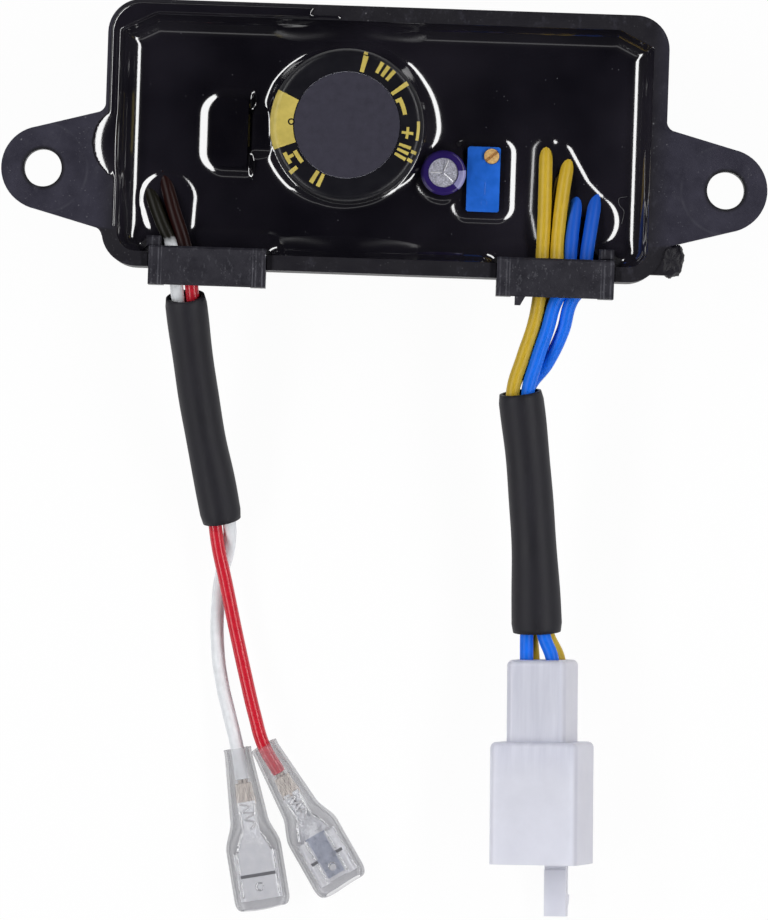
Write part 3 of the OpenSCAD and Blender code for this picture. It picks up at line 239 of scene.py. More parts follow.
# cords: each wire repeats its route, in millimetres, from the board to its far end
wireRoutes = {
    "yellow_1": [
        (24, 6.1, 6.2), (24, 5.7, 9), (23.8, 4.4, 12), (23.6, 1.5, 14.5), (23.6, -4, 15.9), (23.6, -10, 16.1),
        (23.4, -17.8, 16.1), (23.2, -20.6, 16.1), (22.6, -24.3, 15.6), (21.2, -29, 15), (19.9, -34.2, 14.3),
        (20.8, -42, 12.6), (21.5, -49.5, 11.1), (22.3, -56.5, 9.6), (23.1, -63, 8.1), (23.8, -69.3, 6.7),
        (24.3, -73.4, 5.3), (24.4, -76.3, 5.2)],
    "yellow_2": [
        (27.4, 4.4, 6.2), (27.4, 4, 9), (27.2, 2.4, 12), (26.8, -0.6, 14.5), (26.2, -5, 15.9),
        (25.7, -11, 16.1), (25.4, -17.8, 16.1), (25, -19, 14.9), (24.5, -20.6, 14.2), (23.5, -25, 13.6),
        (21.6, -29.6, 12.8), (19.9, -34.2, 12.1), (21.6, -42, 10.6), (23, -49.5, 9.4), (24.3, -56.5, 8.6),
        (25.3, -63, 7.9), (26.2, -69.3, 7.3), (28.1, -73.4, 6.2), (28.2, -76.3, 6.2)],
    "blue_1": [
        (28.6, -1, 6.2), (28.6, -1.4, 9), (28.5, -3, 12), (28.2, -6.2, 14.6), (27.8, -10.5, 15.9),
        (27.6, -14, 16.1), (27.7, -17.8, 16.1), (25.8, -20.6, 16.1), (24.6, -25, 15.9), (23.2, -29.6, 15.2),
        (22.1, -34.2, 14.3), (22.8, -42, 13.4), (23.2, -49.5, 12.6), (23.3, -56.5, 11.6), (23.3, -63, 10.3),
        (23.2, -69.3, 9.1), (23.3, -73.4, 9), (23.4, -76.3, 9)],
    "blue_2": [
        (31.6, -0.8, 6.2), (31.6, -1.2, 9), (31.4, -2.8, 12), (31, -6, 14.6), (30.4, -10.5, 15.9),
        (30, -14, 16.1), (29.9, -17.8, 16.1), (28, -20.6, 16), (26.9, -25, 15), (24.9, -29.6, 13.5),
        (22.1, -34.2, 12.1), (23.6, -42, 11.4), (24.7, -49.5, 10.9), (25.3, -56.5, 10.6), (25.5, -63, 10.1),
        (25.6, -69.3, 9.7), (27.1, -73.4, 10), (27.2, -76.3, 10)],
    "red": [
        (-34.2, 0.4, 6.2), (-34.1, 0, 9), (-33.4, -1.8, 12), (-32, -5.2, 14.6), (-30.6, -9.5, 15.9),
        (-29, -14, 16.1), (-28.1, -17.8, 16.1), (-27.5, -21.8, 15.4), (-26.6, -29, 13.3), (-26, -36, 10.8),
        (-25.3, -42.5, 8.3), (-24.5, -48.5, 5.8), (-23.4, -54.5, 3.7), (-22.7, -58.5, 3.6), (-21.5, -63.3, 3.4),
        (-19.7, -70.8, 3.2), (-18.1, -77.1, 3.5), (-16.5, -83, 4.1), (-15, -87.5, 4.6), (-12.6, -91.4, 4.2)],
    "white": [
        (-36.6, -1.8, 6.2), (-36.5, -2.2, 9), (-35.6, -3.9, 12), (-34.1, -7, 14.6), (-32.4, -11, 15.9),
        (-30.9, -14.2, 16.1), (-30.2, -17.8, 16.1), (-29.7, -21.8, 15.4), (-28.4, -29, 11.9), (-26.6, -36, 8.6),
        (-24.7, -42.5, 6.1), (-22.7, -48.5, 4.4), (-21.2, -54.5, 3.4), (-21.2, -58.5, 1.8), (-22.1, -62.5, 1.1),
        (-22.5, -67.5, 1.1), (-22.3, -73.5, 1.1), (-21.5, -78.5, 1.3), (-20.3, -83, 1.9), (-18.9, -88.1, 2.35),
        (-18, -92.6, 2.35)],
}
wireLook = {
    "diameter": 2.0, "roundness": 6, "smoothness": 10, "coatEdge": (-0.4, 0.6), "coatUneven": 0.6,
    "cloud": 700, "tones": (0.93, 1.06), "roughVary": 0.05, "grain": (2600, 2, 0.05, 0.00003),
    "yellow": {"colour": (0.53, 0.35, 0.012), "rough": 0.46, "gloss": 0.5},
    # blue's under colour is painted shade of the tray's walls on the wires inside it, and the resin film on
    # their tips
    "blue": {"colour": (0.005, 0.15, 0.80), "rough": 0.42, "gloss": 0.25,
             "under": (0.004, 0.085, 0.50), "coatFrom": -17, "coatRough": 0.5, "coatGloss": 1},
    "red": {"colour": (0.58, 0.013, 0.03), "rough": 0.27, "gloss": 0.5,
            "under": (0.013, 0.0022, 0.0018), "coatFrom": -16.2, "coatRough": 0.4, "coatGloss": 0.35},
    "white": {"colour": (0.79, 0.81, 0.84), "rough": 0.5, "gloss": 0.5,
              "under": (0.0075, 0.0068, 0.0042), "coatFrom": -13.7, "coatRough": 0.4, "coatGloss": 0.35},
}


def routeLength(points):
    return sum(math.dist(a, b) for a, b in zip(points, points[1:])) * mm


def colourOf(wireName):
    return wireName.split("_")[0]


def wireInsulation(wireName):
    look = wireLook[colourOf(wireName)]
    gloss = look["gloss"]
    finish = Finish("insulation_" + wireName)
    cloud = finish.noise(wireLook["cloud"], 4, 0.6)
    base = finish.clouded(cloud, look["colour"], *wireLook["tones"])
    rough = finish.roughAround(cloud, look["rough"], wireLook["roughVary"])
    # white and red: the resin coats the end that stands in it; blue: painted shade of the tray's walls, and
    # resin on the tips
    if "under" in look:  # the resin coats the end that stands in it
        ragged = wireLook["coatUneven"] * mm
        uneven = finish.math("ADD", finish.axis("Y"), finish.spread(cloud, 0, 1, -ragged, ragged))
        edge = metres(*(look["coatFrom"] + past for past in wireLook["coatEdge"]))
        coatAndShade = finish.spread(uneven, *edge, 0, 1)
        base = finish.mix(coatAndShade, base, look["under"])
        bare = finish.math("MULTIPLY", rough, finish.math("SUBTRACT", 1.0, coatAndShade))
        rough = finish.math("ADD", bare, finish.math("MULTIPLY", coatAndShade, look["coatRough"]))
        gloss = finish.spread(coatAndShade, 0, 1, gloss, gloss * look["coatGloss"])
    return finish.put(colour=base, roughness=rough, specular=gloss).grain(*wireLook["grain"]).material


def layWire(wireName):
    points = wireRoutes[wireName]
    cordName = "wire_" + wireName + "_cord"
    curve = bpy.data.curves.new(cordName, "CURVE")
    curve.dimensions = "3D"
    curve.bevel_depth = wireLook["diameter"] / 2 * mm
    curve.bevel_resolution = wireLook["roundness"]
    curve.resolution_u = wireLook["smoothness"]
    curve.use_fill_caps = True
    spline = curve.splines.new("BEZIER")
    spline.bezier_points.add(len(points) - 1)
    for knot, point in zip(spline.bezier_points, points):
        knot.co = Vector(point) * mm
        knot.handle_left_type = knot.handle_right_type = "AUTO"
    wire = bpy.data.objects.new(cordName, curve)
    scene.collection.objects.link(wire)
    return dress(wire, wireInsulation(wireName),
                 stands=["wire_" + wireName])


wires = {name: layWire(name) for name in wireRoutes}
print("wires laid")


# sleeves: soft tubes along a smooth line, with an open mouth at each end
sleeveLook = {
    "left": {"half": 3.0, "flare": 0.0}, "right": {"half": 3.25, "flare": 0.5}, "thick": 0.45,
    "lip": (0.06, 2), "sway": [(0.05, 7, 1), (0.04, 17, 0)],  # sway as size, turns and start
    "step": 0.6, "sides": 40, "colour": (0.0125, 0.0118, 0.0165), "specular": 0.28, "cloud": 240,
    "tones": (0.85, 1.2), "rough": (0.5, 0.62), "rub": (0.045, 0.044, 0.052), "rubScale": (2200, 160, 900),
    "rubShow": (0.6, 0.8, 0, 0.3), "creaseScale": (1500, 260, 1500), "crease": (0.2, 0.00012),
}
sleeveRoutes = {
    "left": [(-28.6, -21.8, 15.4), (-27.5, -29, 12.6), (-26.3, -36, 9.7), (-25, -42.5, 7.2),
             (-23.6, -48.5, 5.1), (-22.3, -54.5, 3.5)],
    "right": [(21, -34.2, 13.2), (22.2, -42, 12), (23.1, -49.5, 11), (23.8, -56.5, 10.1), (24.3, -63, 9.1),
              (24.7, -69.3, 8.2)],
}


def smoothLine(points, step):
    # an even line through the points, on cubic spans
    points = [Vector(p) for p in points]
    ends = [points[0] * 2 - points[1], *points, points[-1] * 2 - points[-2]]
    line = []
    for before, a, b, after in zip(ends, ends[1:], ends[2:], ends[3:]):
        count = max(2, int((b - a).length / step))
        for k in range(count):
            t = k / count
            line.append(0.5 * (2 * a + (b - before) * t + (2 * before - 5 * a + 4 * b - after) * t * t
                               + (3 * a - before - 3 * b + after) * t ** 3))
    return line + [points[-1]]


def tubeMesh(line, outer, inner, sides):
    # outer and inner give (half width, half height) at each point; the ends are closed by lips
    count = len(line)
    turns = [2 * math.pi * k / sides for k in range(sides)]
    points = []
    for size, order in ((outer, range(count)), (inner, reversed(range(count)))):
        for i in order:
            along = (line[min(i + 1, count - 1)] - line[max(i - 1, 0)]).normalized()
            side = along.cross(Vector((0, 0, 1))).normalized()
            up = side.cross(along)
            wide, high = size(i, count)
            points += [(line[i] + side * wide * math.cos(a) + up * high * math.sin(a)) * mm for a in turns]
    return points, ringFaces(2 * count, sides, closed=True)


def sleeveVinyl():
    look = sleeveLook
    finish = Finish("sleeve_vinyl_soft")
    cloud = finish.noise(look["cloud"], 5, 0.6)
    base = finish.clouded(cloud, look["colour"], *look["tones"])
    rub = finish.noise(1, 4, 0.7, finish.stretched(look["rubScale"]))
    finish.put(colour=finish.mix(finish.spread(rub, *look["rubShow"]), base, look["rub"]),
               roughness=finish.between(cloud, *look["rough"]), specular=look["specular"])
    creases = finish.noise(1, 3, 0.6, finish.stretched(look["creaseScale"]))
    return finish.bump(creases, *look["crease"]).material


sleeveFinish = sleeveVinyl()


def makeSleeve(side):
    half, flare = sleeveLook[side]["half"], sleeveLook[side]["flare"]
    draw, lipSteps = sleeveLook["lip"]

    def outer(i, count):
        t = i / (count - 1)
        ease = 1 - draw * max(0, 1 - min(i, count - 1 - i) / lipSteps)
        sway = sum(size * math.sin(turns * t + start) for size, turns, start in sleeveLook["sway"])
        return (half + flare * t ** 3 + sway) * ease, (half + sway) * ease

    def inner(i, count):
        return [size - sleeveLook["thick"] for size in outer(i, count)]

    line = smoothLine(sleeveRoutes[side], sleeveLook["step"])
    piece = addPiece("sleeve_" + side + "_soft", *tubeMesh(line, outer, inner, sleeveLook["sides"]))
    return dress(piece, sleeveFinish, stands=["sleeve_" + side])


sleeves = {side: makeSleeve(side) for side in sleeveRoutes}
print("sleeves made")

# clear covers: a round neck that widens into a flat mouth
coverLook = {
    "length": 24, "neck": 10.4, "neckWide": 5.6, "flare": 4.6, "roundD": 3.9, "wide": 8.2, "high": 4.4,
    "thick": 0.4, "square": 4.5, "lip": (0.12, 0.8), "mouthRound": 1.6, "mouthDraw": 0.8,
    "wave": 0.11, "waveFrom": 20, "waveTimes": 0.8, "sides": 64, "rings": 60, "ringBias": 1.25,
    "colour": (0.45, 0.45, 0.49), "ior": 1.9, "cloud": 300, "dark": 0.94, "rough": (0.16, 0.28),
    "ripple": (420, 3, 0.3, 0.00025), "hazeAt": (-103, -95), "hazeTop": (0.18, 0.13),
    # the haze for the lower wall is also painted shadow of the cover on the floor
    "hazeAndShadowUnder": (0.5, 0.42), "hazeSoft": 0.4, "hazeEdge": 0.42, "edgeBlend": 0.4, "edgeFrom": 0.25,
    "hazeRim": 0.3, "rimFrom": 22.8,
    "white": {"at": (-18.9, -88.1, 2.35), "turn": 11.3, "fall": 0},
    "red": {"at": (-15, -87.5, 4.6), "turn": 31.4, "fall": 5.2},
}


def coverFrame(which):
    look = coverLook[which]
    turn = Matrix.Rotation(math.radians(look["turn"]), 4, "Z")
    fall = Matrix.Rotation(math.radians(look["fall"]), 4, "X")
    return Matrix.Translation(Vector(look["at"])) @ turn @ fall


def coverRing(y, wide, high, square):
    ring = []
    for k in range(coverLook["sides"]):
        a = 2 * math.pi * k / coverLook["sides"]
        c, s = math.cos(a), math.sin(a)
        ring.append(Vector((math.copysign(abs(c) ** (2 / square), c) * wide, -y,
                            math.copysign(abs(s) ** (2 / square), s) * high)))
    return ring


def coverRings(inset):
    look = coverLook
    lipOut, lipLong = look["lip"]
    rings = []
    for k in range(look["rings"] + 1):
        y = look["length"] * (1 - (1 - k / look["rings"]) ** look["ringBias"])
        ease = fadeIn(y, look["neck"], look["neck"] + look["flare"])
        lip = lipOut * max(0, 1 - y / lipLong)
        taper = look["roundD"] + (look["neckWide"] - look["roundD"]) * min(1, y / look["neck"])
        end = max(0, 1 - (look["length"] - y) / look["mouthRound"])
        drawn = look["mouthDraw"] * (1 - math.sqrt(1 - end * end))
        wide = taper / 2 + (look["wide"] - taper) / 2 * ease + lip - inset - drawn
        high = look["roundD"] / 2 + (look["high"] - look["roundD"]) / 2 * ease + lip - inset
        rings.append(coverRing(y, wide, high, 2 + (look["square"] - 2) * ease))
    return rings


def clearVinyl(which):
    # hazy film: clearer above, milkier towards the mouth and where the wall turns edge on; its lower wall is
    # milkier still as painted shadow, greying the floor seen through it
    look, place = coverLook, coverFrame(which)
    finish = Finish("clear_vinyl_" + which)
    cloud = finish.noise(look["cloud"], 4, 0.6)
    finish.put(colour=finish.mix(cloud, shade(look["colour"], look["dark"]), look["colour"]),
               roughness=finish.between(cloud, *look["rough"]), ior=look["ior"])
    finish.grain(*look["ripple"])

    def changeAlong(way, low, high, toLow, toHigh):
        # along one of the cover's own directions, in millimetres from its neck
        way = place.to_3x3() @ Vector(way)
        start = place.translation.dot(way)
        return finish.spread(finish.along(way), *metres(start + low, start + high), toLow, toHigh)

    above, under = (finish.spread(finish.axis("Y"), *metres(*look["hazeAt"]), *look[haze])
                    for haze in ("hazeTop", "hazeAndShadowUnder"))
    # painted shadow: the lower wall is milkier, greying the floor seen through it
    lowerWallShadow = changeAlong((0, 0, 1), -look["hazeSoft"], look["hazeSoft"], 1, 0)
    rim = changeAlong((0, -1, 0), look["rimFrom"], look["length"], 0, look["hazeRim"])
    more = finish.math("MULTIPLY", lowerWallShadow, finish.math("SUBTRACT", under, above))
    haze = finish.math("MAXIMUM", finish.math("ADD", above, more), rim)
    turned = finish.node("LayerWeight", {"Blend": look["edgeBlend"]}).outputs["Facing"]
    edge = finish.spread(turned, look["edgeFrom"], 1, 0, look["hazeEdge"])
    return finish.put(alpha=finish.math("ADD", haze, edge)).material


def makeCover(which):
    look, place = coverLook, coverFrame(which)
    rings = coverRings(0) + coverRings(look["thick"])[::-1]
    points = [p for ring in rings for p in ring]
    for p in points:  # the mouth is cut a little unevenly
        late = max(0, (-p.y - look["waveFrom"]) / (look["length"] - look["waveFrom"]))
        p.y += look["wave"] * late * math.sin(look["waveTimes"] * p.x + look[which]["turn"])
    faces = ringFaces(len(rings), look["sides"], closed=True, flip=True)
    piece = addPiece("spade_cover_" + which + "_clear", [(place @ p) * mm for p in points], faces)
    return dress(piece, clearVinyl(which), stands=["spade_cover_" + which])


covers = {which: makeCover(which) for which in ("white", "red")}
print("covers made")

# resin: a height field over the tray, with hollow edges at walls and parts and a film over the left rim
# a lamp's line shows where the resin tilts by lampSlope, so each edge is set by how far from the part that is
resin = {
    "face": 14.6, "rim": 18.0, "floor": 2.05, "step": 0.27, "gridX": (-44.6, 39.8), "gridY": (-16.2, 21.6),
    "blend": 5, "lampSlope": 0.424, "lampTan": 1.037, "swellPeak": 0.97, "slopeStep": 0.05, "leastAcross": 0.5,
    "wallSteep": 1.2, "wallFall": 3.9, "lipRise": 1.1, "lipFall": 0.3, "lipSoft": 0.12, "lipSink": 0.2,
    "lipEdge": (-0.6, 0.2), "trayCentre": (0, 1.95), "trayHalf": (38.9, 17.35), "trayCorner": 2.8,
    "webAt": (33.9, 19.3), "webNormal": (0.447, 0.894),
    "dryRim": -0.45, "dryFall": 2.5, "wetGap": -0.5, "wetFilm": 0.05, "skirt": (1, 0.3),
    "clampDip": -2.9, "clampAt": 25.5, "clampHalf": 8.8, "clampEdge": -12.6, "clampSide": (-2.6, 0.4),
    "clampEnd": (-1.5, 0.5), "mainAt": (-5.7, 3.75), "mainR": 11.2, "mainTop": 3.4,
    "mainCollar": [  # angle, distance of the lamp's line from the part, and how far the collar runs out
        (-50, 0.65, 0.9), (-15, 1.7, 1.6), (0, 2.2, 2.1), (30, 2.15, 1.9), (48, 2.25, 1.5), (62, 1.9, 1.1),
        (78, 1.0, 0.9), (90, 0.5, 0.8), (120, 1.3, 0.8), (150, 1.5, 0.7), (170, 1.2, 0.8), (205, 1.2, 1.2),
        (230, 1.3, 1.3), (250, 0.8, 0.9), (280, 0.6, 0.8)],
    "smallAt": (8.6, -2.45), "smallHalf": (4.3, 4.3), "smallCorner": 4.3, "smallRise": 0.7,
    "trimAt": (14.5, -3.2), "trimHalf": (4.35, 6.1), "trimCorner": 2.2, "trimRise": 0.72,
    "blockAt": (-19.5, 2.3), "blockHalf": (7.2, 5.9), "blockCorner": 3.2, "blockRise": 1.0,
    "blockEnd": -19.5, "blockSoft": 0.3,
    "bridgeAt": (-17, 2.7), "bridgeHalf": (3.4, 3.4), "bridgeCorner": 1, "bridgeRise": 1.35, "bridgeSoft": 0.9,
    "mounds": [  # rise, share of the lamp's slope, then points with the distance to the steepest line
        (0.66, 1.06, [(-31.6, -7.7, 4.05), (-30.9, -13, 3.0)]),
        (0.85, 0.94, [(23.7, 1.2, 1.95), (23.6, -7.5, 2.0), (23.6, -12, 1.0)]),
        (0.62, 0.93, [(25.8, 1.0, 1.5), (27.9, -4.0, 2.2), (30.3, -8.8, 4.0), (30.0, -12.5, 1.9)])],
    "ior": 2.05, "black": (0.0055, 0.005, 0.0078), "hazy": (0.0165, 0.0148, 0.021), "hazeScale": 45,
    "hazeShow": (0.35, 0.65, 0, 1), "specks": (900, 0.10, (220, 2), 0.52, 0.6, 0.7), "dust": (0.16, 0.16, 0.18),
    "rough": (0.095, 0.5), "ripple": (120, 2, 0.02, 0.0004),
}
resinFilm = {
    "innerEdge": 0.7, "innerThick": 0.28, "innerWidth": 0.6, "innerFar": 4, "innerLead": -12,
    "outerInset": 0.45, "outerThick": 0.3, "outerWidth": 0.7, "caseHalf": (41.1, 19.55), "caseCorner": 5,
    "farEnd": -10.8, "farWave": (0.5, 2.1), "leftEnd": -4.6, "leftWave": (0.3, 2.7),
    "blobAt": (-37.4, 0.3), "blobR": 5.6, "blobThick": 0.95, "blobWidth": 3.6,
}


def boxGap(x, y, centre, half, corner):
    # distance outside a round-cornered box, negative inside
    across = np.abs(x - centre[0]) - (half[0] - corner)
    along = np.abs(y - centre[1]) - (half[1] - corner)
    outside = np.hypot(np.maximum(across, 0), np.maximum(along, 0))
    return outside + np.minimum(np.maximum(across, along), 0) - corner


def pathGap(x, y, points):
    # distance from a line of round steps, each with its own radius
    gap = np.full_like(x, np.inf)
    for (ax, ay, ar), (bx, by, br) in zip(points, points[1:]):
        dx, dy = bx - ax, by - ay
        t = np.clip(((x - ax) * dx + (y - ay) * dy) / (dx * dx + dy * dy), 0, 1)
        gap = np.minimum(gap, np.hypot(x - ax - t * dx, y - ay - t * dy) - ar - t * (br - ar))
    return gap


def fallAway(gap, width):
    return (1 - np.tanh(gap / width)) / 2


def swell(x, y, gapOf, rise, peak=resin["swellPeak"]):
    # mound whose steepest line has just the slope that shows a side lamp
    near = resin["slopeStep"]
    across = np.abs(gapOf(x + near, y) - gapOf(x - near, y)) / (2 * near)
    slope = np.tan(np.arctan(resin["lampTan"] / np.maximum(across, resin["leastAcross"])) / 2)
    return rise * fallAway(gapOf(x, y), rise / (2 * slope * peak))


def boxSwell(x, y, part):
    at, half, corner, rise = (resin[part + key] for key in ("At", "Half", "Corner", "Rise"))
    return swell(x, y, lambda a, b: boxGap(a, b, at, half, corner), rise)


def softRamp(gap, width):
    return width * np.logaddexp(0, gap / width)


def filmEdge(inside, width, thick, power):
    # film that rises from its border, round or gentle, and falls away steeply outside it
    t = np.clip(inside / width, 0, 1)
    rise = thick * (1 - (1 - t) ** 2) ** power
    return np.where(inside > 0, rise, np.maximum(resin["dryFall"] * inside, resin["dryRim"]))


def fillet(gap, steep, width):
    # hollow edge that starts with a slope at the part and runs out after a width
    t = np.clip(1 - gap / width, 0, 1)
    return steep * width / 2 * np.where(gap > 0, t * t, 1)


def mainCollar(x, y):
    # hollow edge that has the lamp's slope at a distance from the main capacitor
    dx, dy = x - resin["mainAt"][0], y - resin["mainAt"][1]
    gap = np.maximum(np.hypot(dx, dy) - resin["mainR"], 0)
    angles, lines, falls = zip(*resin["mainCollar"])
    angle = np.degrees(np.arctan2(dy, dx))
    line, fall = (np.interp(angle, angles, values, period=360) for values in (lines, falls))
    return np.minimum(resin["lampSlope"] * fall * np.exp((line - gap) / fall), resin["mainTop"])


def filmOverRim(x, y, gap):
    # thickness above the rim, negative where the rim is dry
    look = resinFilm
    case = -boxGap(x, y, resin["trayCentre"], look["caseHalf"], look["caseCorner"])
    farSize, farTimes = look["farWave"]
    leftSize, leftTimes = look["leftWave"]
    farSide = look["farEnd"] - x + farSize * np.sin(farTimes * y)
    leftSide = y - look["leftEnd"] + leftSize * np.sin(leftTimes * x)
    corner = np.minimum.reduce([case - look["outerInset"], farSide, leftSide])
    inner = np.minimum.reduce([gap + look["innerEdge"], farSide + look["innerFar"], y - look["innerLead"]])
    blob = look["blobR"] - np.hypot(x - look["blobAt"][0], y - look["blobAt"][1])
    layers = [
        filmEdge(corner, look["outerWidth"], look["outerThick"], 0.5),
        filmEdge(inner, look["innerWidth"], look["innerThick"], 0.5),
        filmEdge(blob, look["blobWidth"], look["blobThick"], 1),
    ]
    wet = np.maximum(np.maximum(layers[0], 0) + np.maximum(layers[1], 0), layers[2])
    return np.where(wet > 0, wet, np.maximum.reduce(layers))


def trayGap(x, y):
    # distance inside the tray's walls and far corner webs
    gap = -boxGap(x, y, resin["trayCentre"], resin["trayHalf"], resin["trayCorner"])
    (webX, webY), (normalX, normalY) = resin["webAt"], resin["webNormal"]
    return np.minimum(gap, (webX - np.abs(x)) * normalX + (webY - y) * normalY)


def resinTop(x, y):
    gap = trayGap(x, y)
    film = filmOverRim(x, y, gap)
    toRim = resin["rim"] - resin["face"]
    underClamp = (fadeIn(resin["clampHalf"] - np.abs(np.abs(x) - resin["clampAt"]), *resin["clampSide"])
                  * fadeIn(resin["clampEdge"] - y, *resin["clampEnd"]))
    inside = fadeIn(gap, *resin["lipEdge"])
    lift = film * (1 - inside) - resin["lipSink"] * inside
    lip = (resin["lipRise"] + lift) * np.exp(-softRamp(gap, resin["lipSoft"]) / resin["lipFall"])
    wall = np.minimum(fillet(gap, resin["wallSteep"], resin["wallFall"]) + lip, toRim + lift)
    wall = wall * (1 - underClamp) + (toRim + resin["clampDip"]) * underClamp
    bridge = boxGap(x, y, resin["bridgeAt"], resin["bridgeHalf"], resin["bridgeCorner"])
    rises = [
        np.maximum(wall, 0), mainCollar(x, y), boxSwell(x, y, "small"), boxSwell(x, y, "trim"),
        boxSwell(x, y, "block") * fallAway(x - resin["blockEnd"], resin["blockSoft"]),
        resin["bridgeRise"] * fallAway(bridge, resin["bridgeSoft"]),
    ]
    rises += [swell(x, y, lambda a, b, p=points: pathGap(a, b, p), rise, peak)
              for rise, peak, points in resin["mounds"]]
    power = resin["blend"]
    return resin["face"] + sum(rise ** power for rise in rises) ** (1 / power), gap, film


def makeResin():
    xs, ys = (np.arange(*resin[grid], resin["step"]) for grid in ("gridX", "gridY"))
    x, y = np.meshgrid(xs, ys, indexing="ij")
    top, gap, film = resinTop(x, y)
    wet = (gap > resin["wetGap"]) | (film > resin["dryRim"] + resin["wetFilm"])
    underRim, thin = resin["skirt"]
    bottom = np.where(gap > 0, resin["floor"], np.minimum(resin["rim"] - underRim, top - thin))
    cells = wet[:-1, :-1] & wet[1:, :-1] & wet[:-1, 1:] & wet[1:, 1:]
    used = np.zeros_like(wet)
    for dx in (0, 1):
        for dy in (0, 1):
            used[dx:used.shape[0] - 1 + dx, dy:used.shape[1] - 1 + dy] |= cells
    count = int(used.sum())
    number = -np.ones(wet.shape, int)
    number[used] = np.arange(count)
    points = np.concatenate([np.stack([x[used], y[used], z[used]], 1) for z in (top, bottom)]) * mm
    faces = []

    def addFaces(*corners):
        faces.extend(tuple(face) for face in np.stack(corners, 1).tolist())

    i, j = np.nonzero(cells)
    a, b, c, d = number[i, j], number[i + 1, j], number[i + 1, j + 1], number[i, j + 1]
    addFaces(a, b, c, d)
    addFaces(a + count, d + count, c + count, b + count)
    padded = np.pad(cells, 1)
    for di, dj, first, second in ((0, -1, (0, 0), (1, 0)), (1, 0, (1, 0), (1, 1)),
                                  (0, 1, (1, 1), (0, 1)), (-1, 0, (0, 1), (0, 0))):
        beside = padded[1 + di:padded.shape[0] - 1 + di, 1 + dj:padded.shape[1] - 1 + dj]
        i, j = np.nonzero(cells & ~beside)
        p, q = (number[i + u, j + v] for u, v in (first, second))
        addFaces(q, p, p + count, q + count)
    return addPiece("potting_resin_poured", points, faces)


def glossyResin():
    finish = Finish("black_resin")
    dust = finish.specks(*resin["specks"])
    haze = finish.spread(finish.noise(resin["hazeScale"], 3), *resin["hazeShow"])
    clean = finish.mix(haze, resin["black"], resin["hazy"])
    finish.put(colour=finish.mix(dust, clean, resin["dust"]), ior=resin["ior"],
               roughness=finish.spread(dust, 0, 1, *resin["rough"]))
    return finish.grain(*resin["ripple"]).material


resinFinish = glossyResin()
resinPiece = dress(makeResin(), resinFinish, stands=["potting"])
print("resin poured:", len(resinPiece.data.polygons), "faces")

# moulded plastic of the tray and clamps: mottled, with fine grain, pale scuffs along one direction and dust,
# painted shade round the ear holes and painted highlight lines near the clamp ends
caseLook = {
    "colour": (0.024, 0.0225, 0.037), "rimColour": (0.0075, 0.0066, 0.0105), "specular": 0.3, "mottle": 260,
    "trayEnd": (38.8, 42.0), "stubEnd": (-12.4, -11.8),
    "scuffScale": (700, 420, 300), "scuffTurn": (0, 0, 0.6), "scuffFrom": 0.56, "scuff": 0.32,
    "scuffAndHighlightColour": (0.042, 0.041, 0.056), "earRing": (50, -3.7, 6.5, 0.3), "ringShow": (0.4, 0.6, 0, 0.9),
    "ringBreaks": 240, "holeShadeEdge": (2.9, 3.35, 0.95), "holeShadeFactor": 0.5,
    "dustScale": 700, "dustSize": 0.12, "dust": 0.35, "rough": 0.5, "grain": 5200, "bump": 0.5,
}
clampLook = {
    "colour": (0.0165, 0.0155, 0.0225), "specular": 0.42, "mottle": 420,
    "scuffScale": (1500, 700, 400), "scuffTurn": (0, 0, 0.5), "scuffFrom": 0.58, "scuff": 0.45,
    "scuffAndHighlightColour": (0.085, 0.085, 0.10),
    # painted highlights: pale lines near each clamp end, where its rounded edges and ribs catch the lamps
    "highlightMiddle": 25.5, "highlightLines": [(8.1, 0.16), (7.15, 0.14), (6.7, 0.1)],  # lines as distance and width
    "highlightScale": (900, 420, 300), "highlightShow": (0.4, 0.58, 0.1, 0.75),
    "dustScale": 1000, "dustSize": 0.17, "dust": 0.75, "dustEdge": (-10, 10), "dustRight": 0.25,
    "rough": 0.46, "grain": 4200, "bump": 0.45,
}
mouldedLook = {
    "tones": (0.8, 1.2), "roughVary": 0.08, "scuffSoft": 0.12, "grainDepth": 0.00006,
    "dustColour": (0.5, 0.5, 0.53), "dustPatch": ((160, 2), 0.5, 0.62),
    "smallDust": (2.6, 0.2, 0.6), "smallPatch": ((330, 3), 0.46, 0.66),
}


def markEars(finish, look, outward, base, scuffsAndHighlights):
    # faint round line that the mould left on each ear, and painted shade round the edge of its hole
    middleX, middleY, radius, wide = metres(*look["earRing"])
    squares = [finish.math("MULTIPLY", way, way) for way in (
        finish.math("SUBTRACT", outward, middleX), finish.math("SUBTRACT", finish.axis("Y"), middleY))]
    away = finish.math("SQRT", finish.math("ADD", *squares))
    off = finish.math("ABSOLUTE", finish.math("SUBTRACT", away, radius))
    faint = finish.spread(finish.noise(look["ringBreaks"], 3), *look["ringShow"])
    line = finish.math("MULTIPLY", finish.spread(off, 0, wide, 1, 0), faint)
    # painted shade: the rim colour, darker still, in a band round the hole
    low, high, dark = look["holeShadeEdge"]
    shadeAtHole = finish.spread(away, *metres(low, high), dark, 0)
    base = finish.mix(shadeAtHole, base, shade(look["rimColour"], look["holeShadeFactor"]))
    return base, finish.math("MAXIMUM", scuffsAndHighlights, line)


def paintEndHighlights(finish, look, outward, scuffsAndHighlights):
    # painted highlights: pale broken lines near the ends of a clamp, where its rounded edges and ribs catch the
    # lamps
    out = finish.math("ABSOLUTE", finish.math("SUBTRACT", outward, look["highlightMiddle"] * mm))
    patches = finish.noise(1, 3, 0.7, finish.stretched(look["highlightScale"]))
    broken = finish.spread(patches, *look["highlightShow"])
    for at, wide in look["highlightLines"]:
        away = finish.math("ABSOLUTE", finish.math("SUBTRACT", out, at * mm))
        line = finish.math("MULTIPLY", finish.spread(away, *metres(wide / 2, wide), 1, 0), broken)
        scuffsAndHighlights = finish.math("MAXIMUM", scuffsAndHighlights, line)
    return scuffsAndHighlights


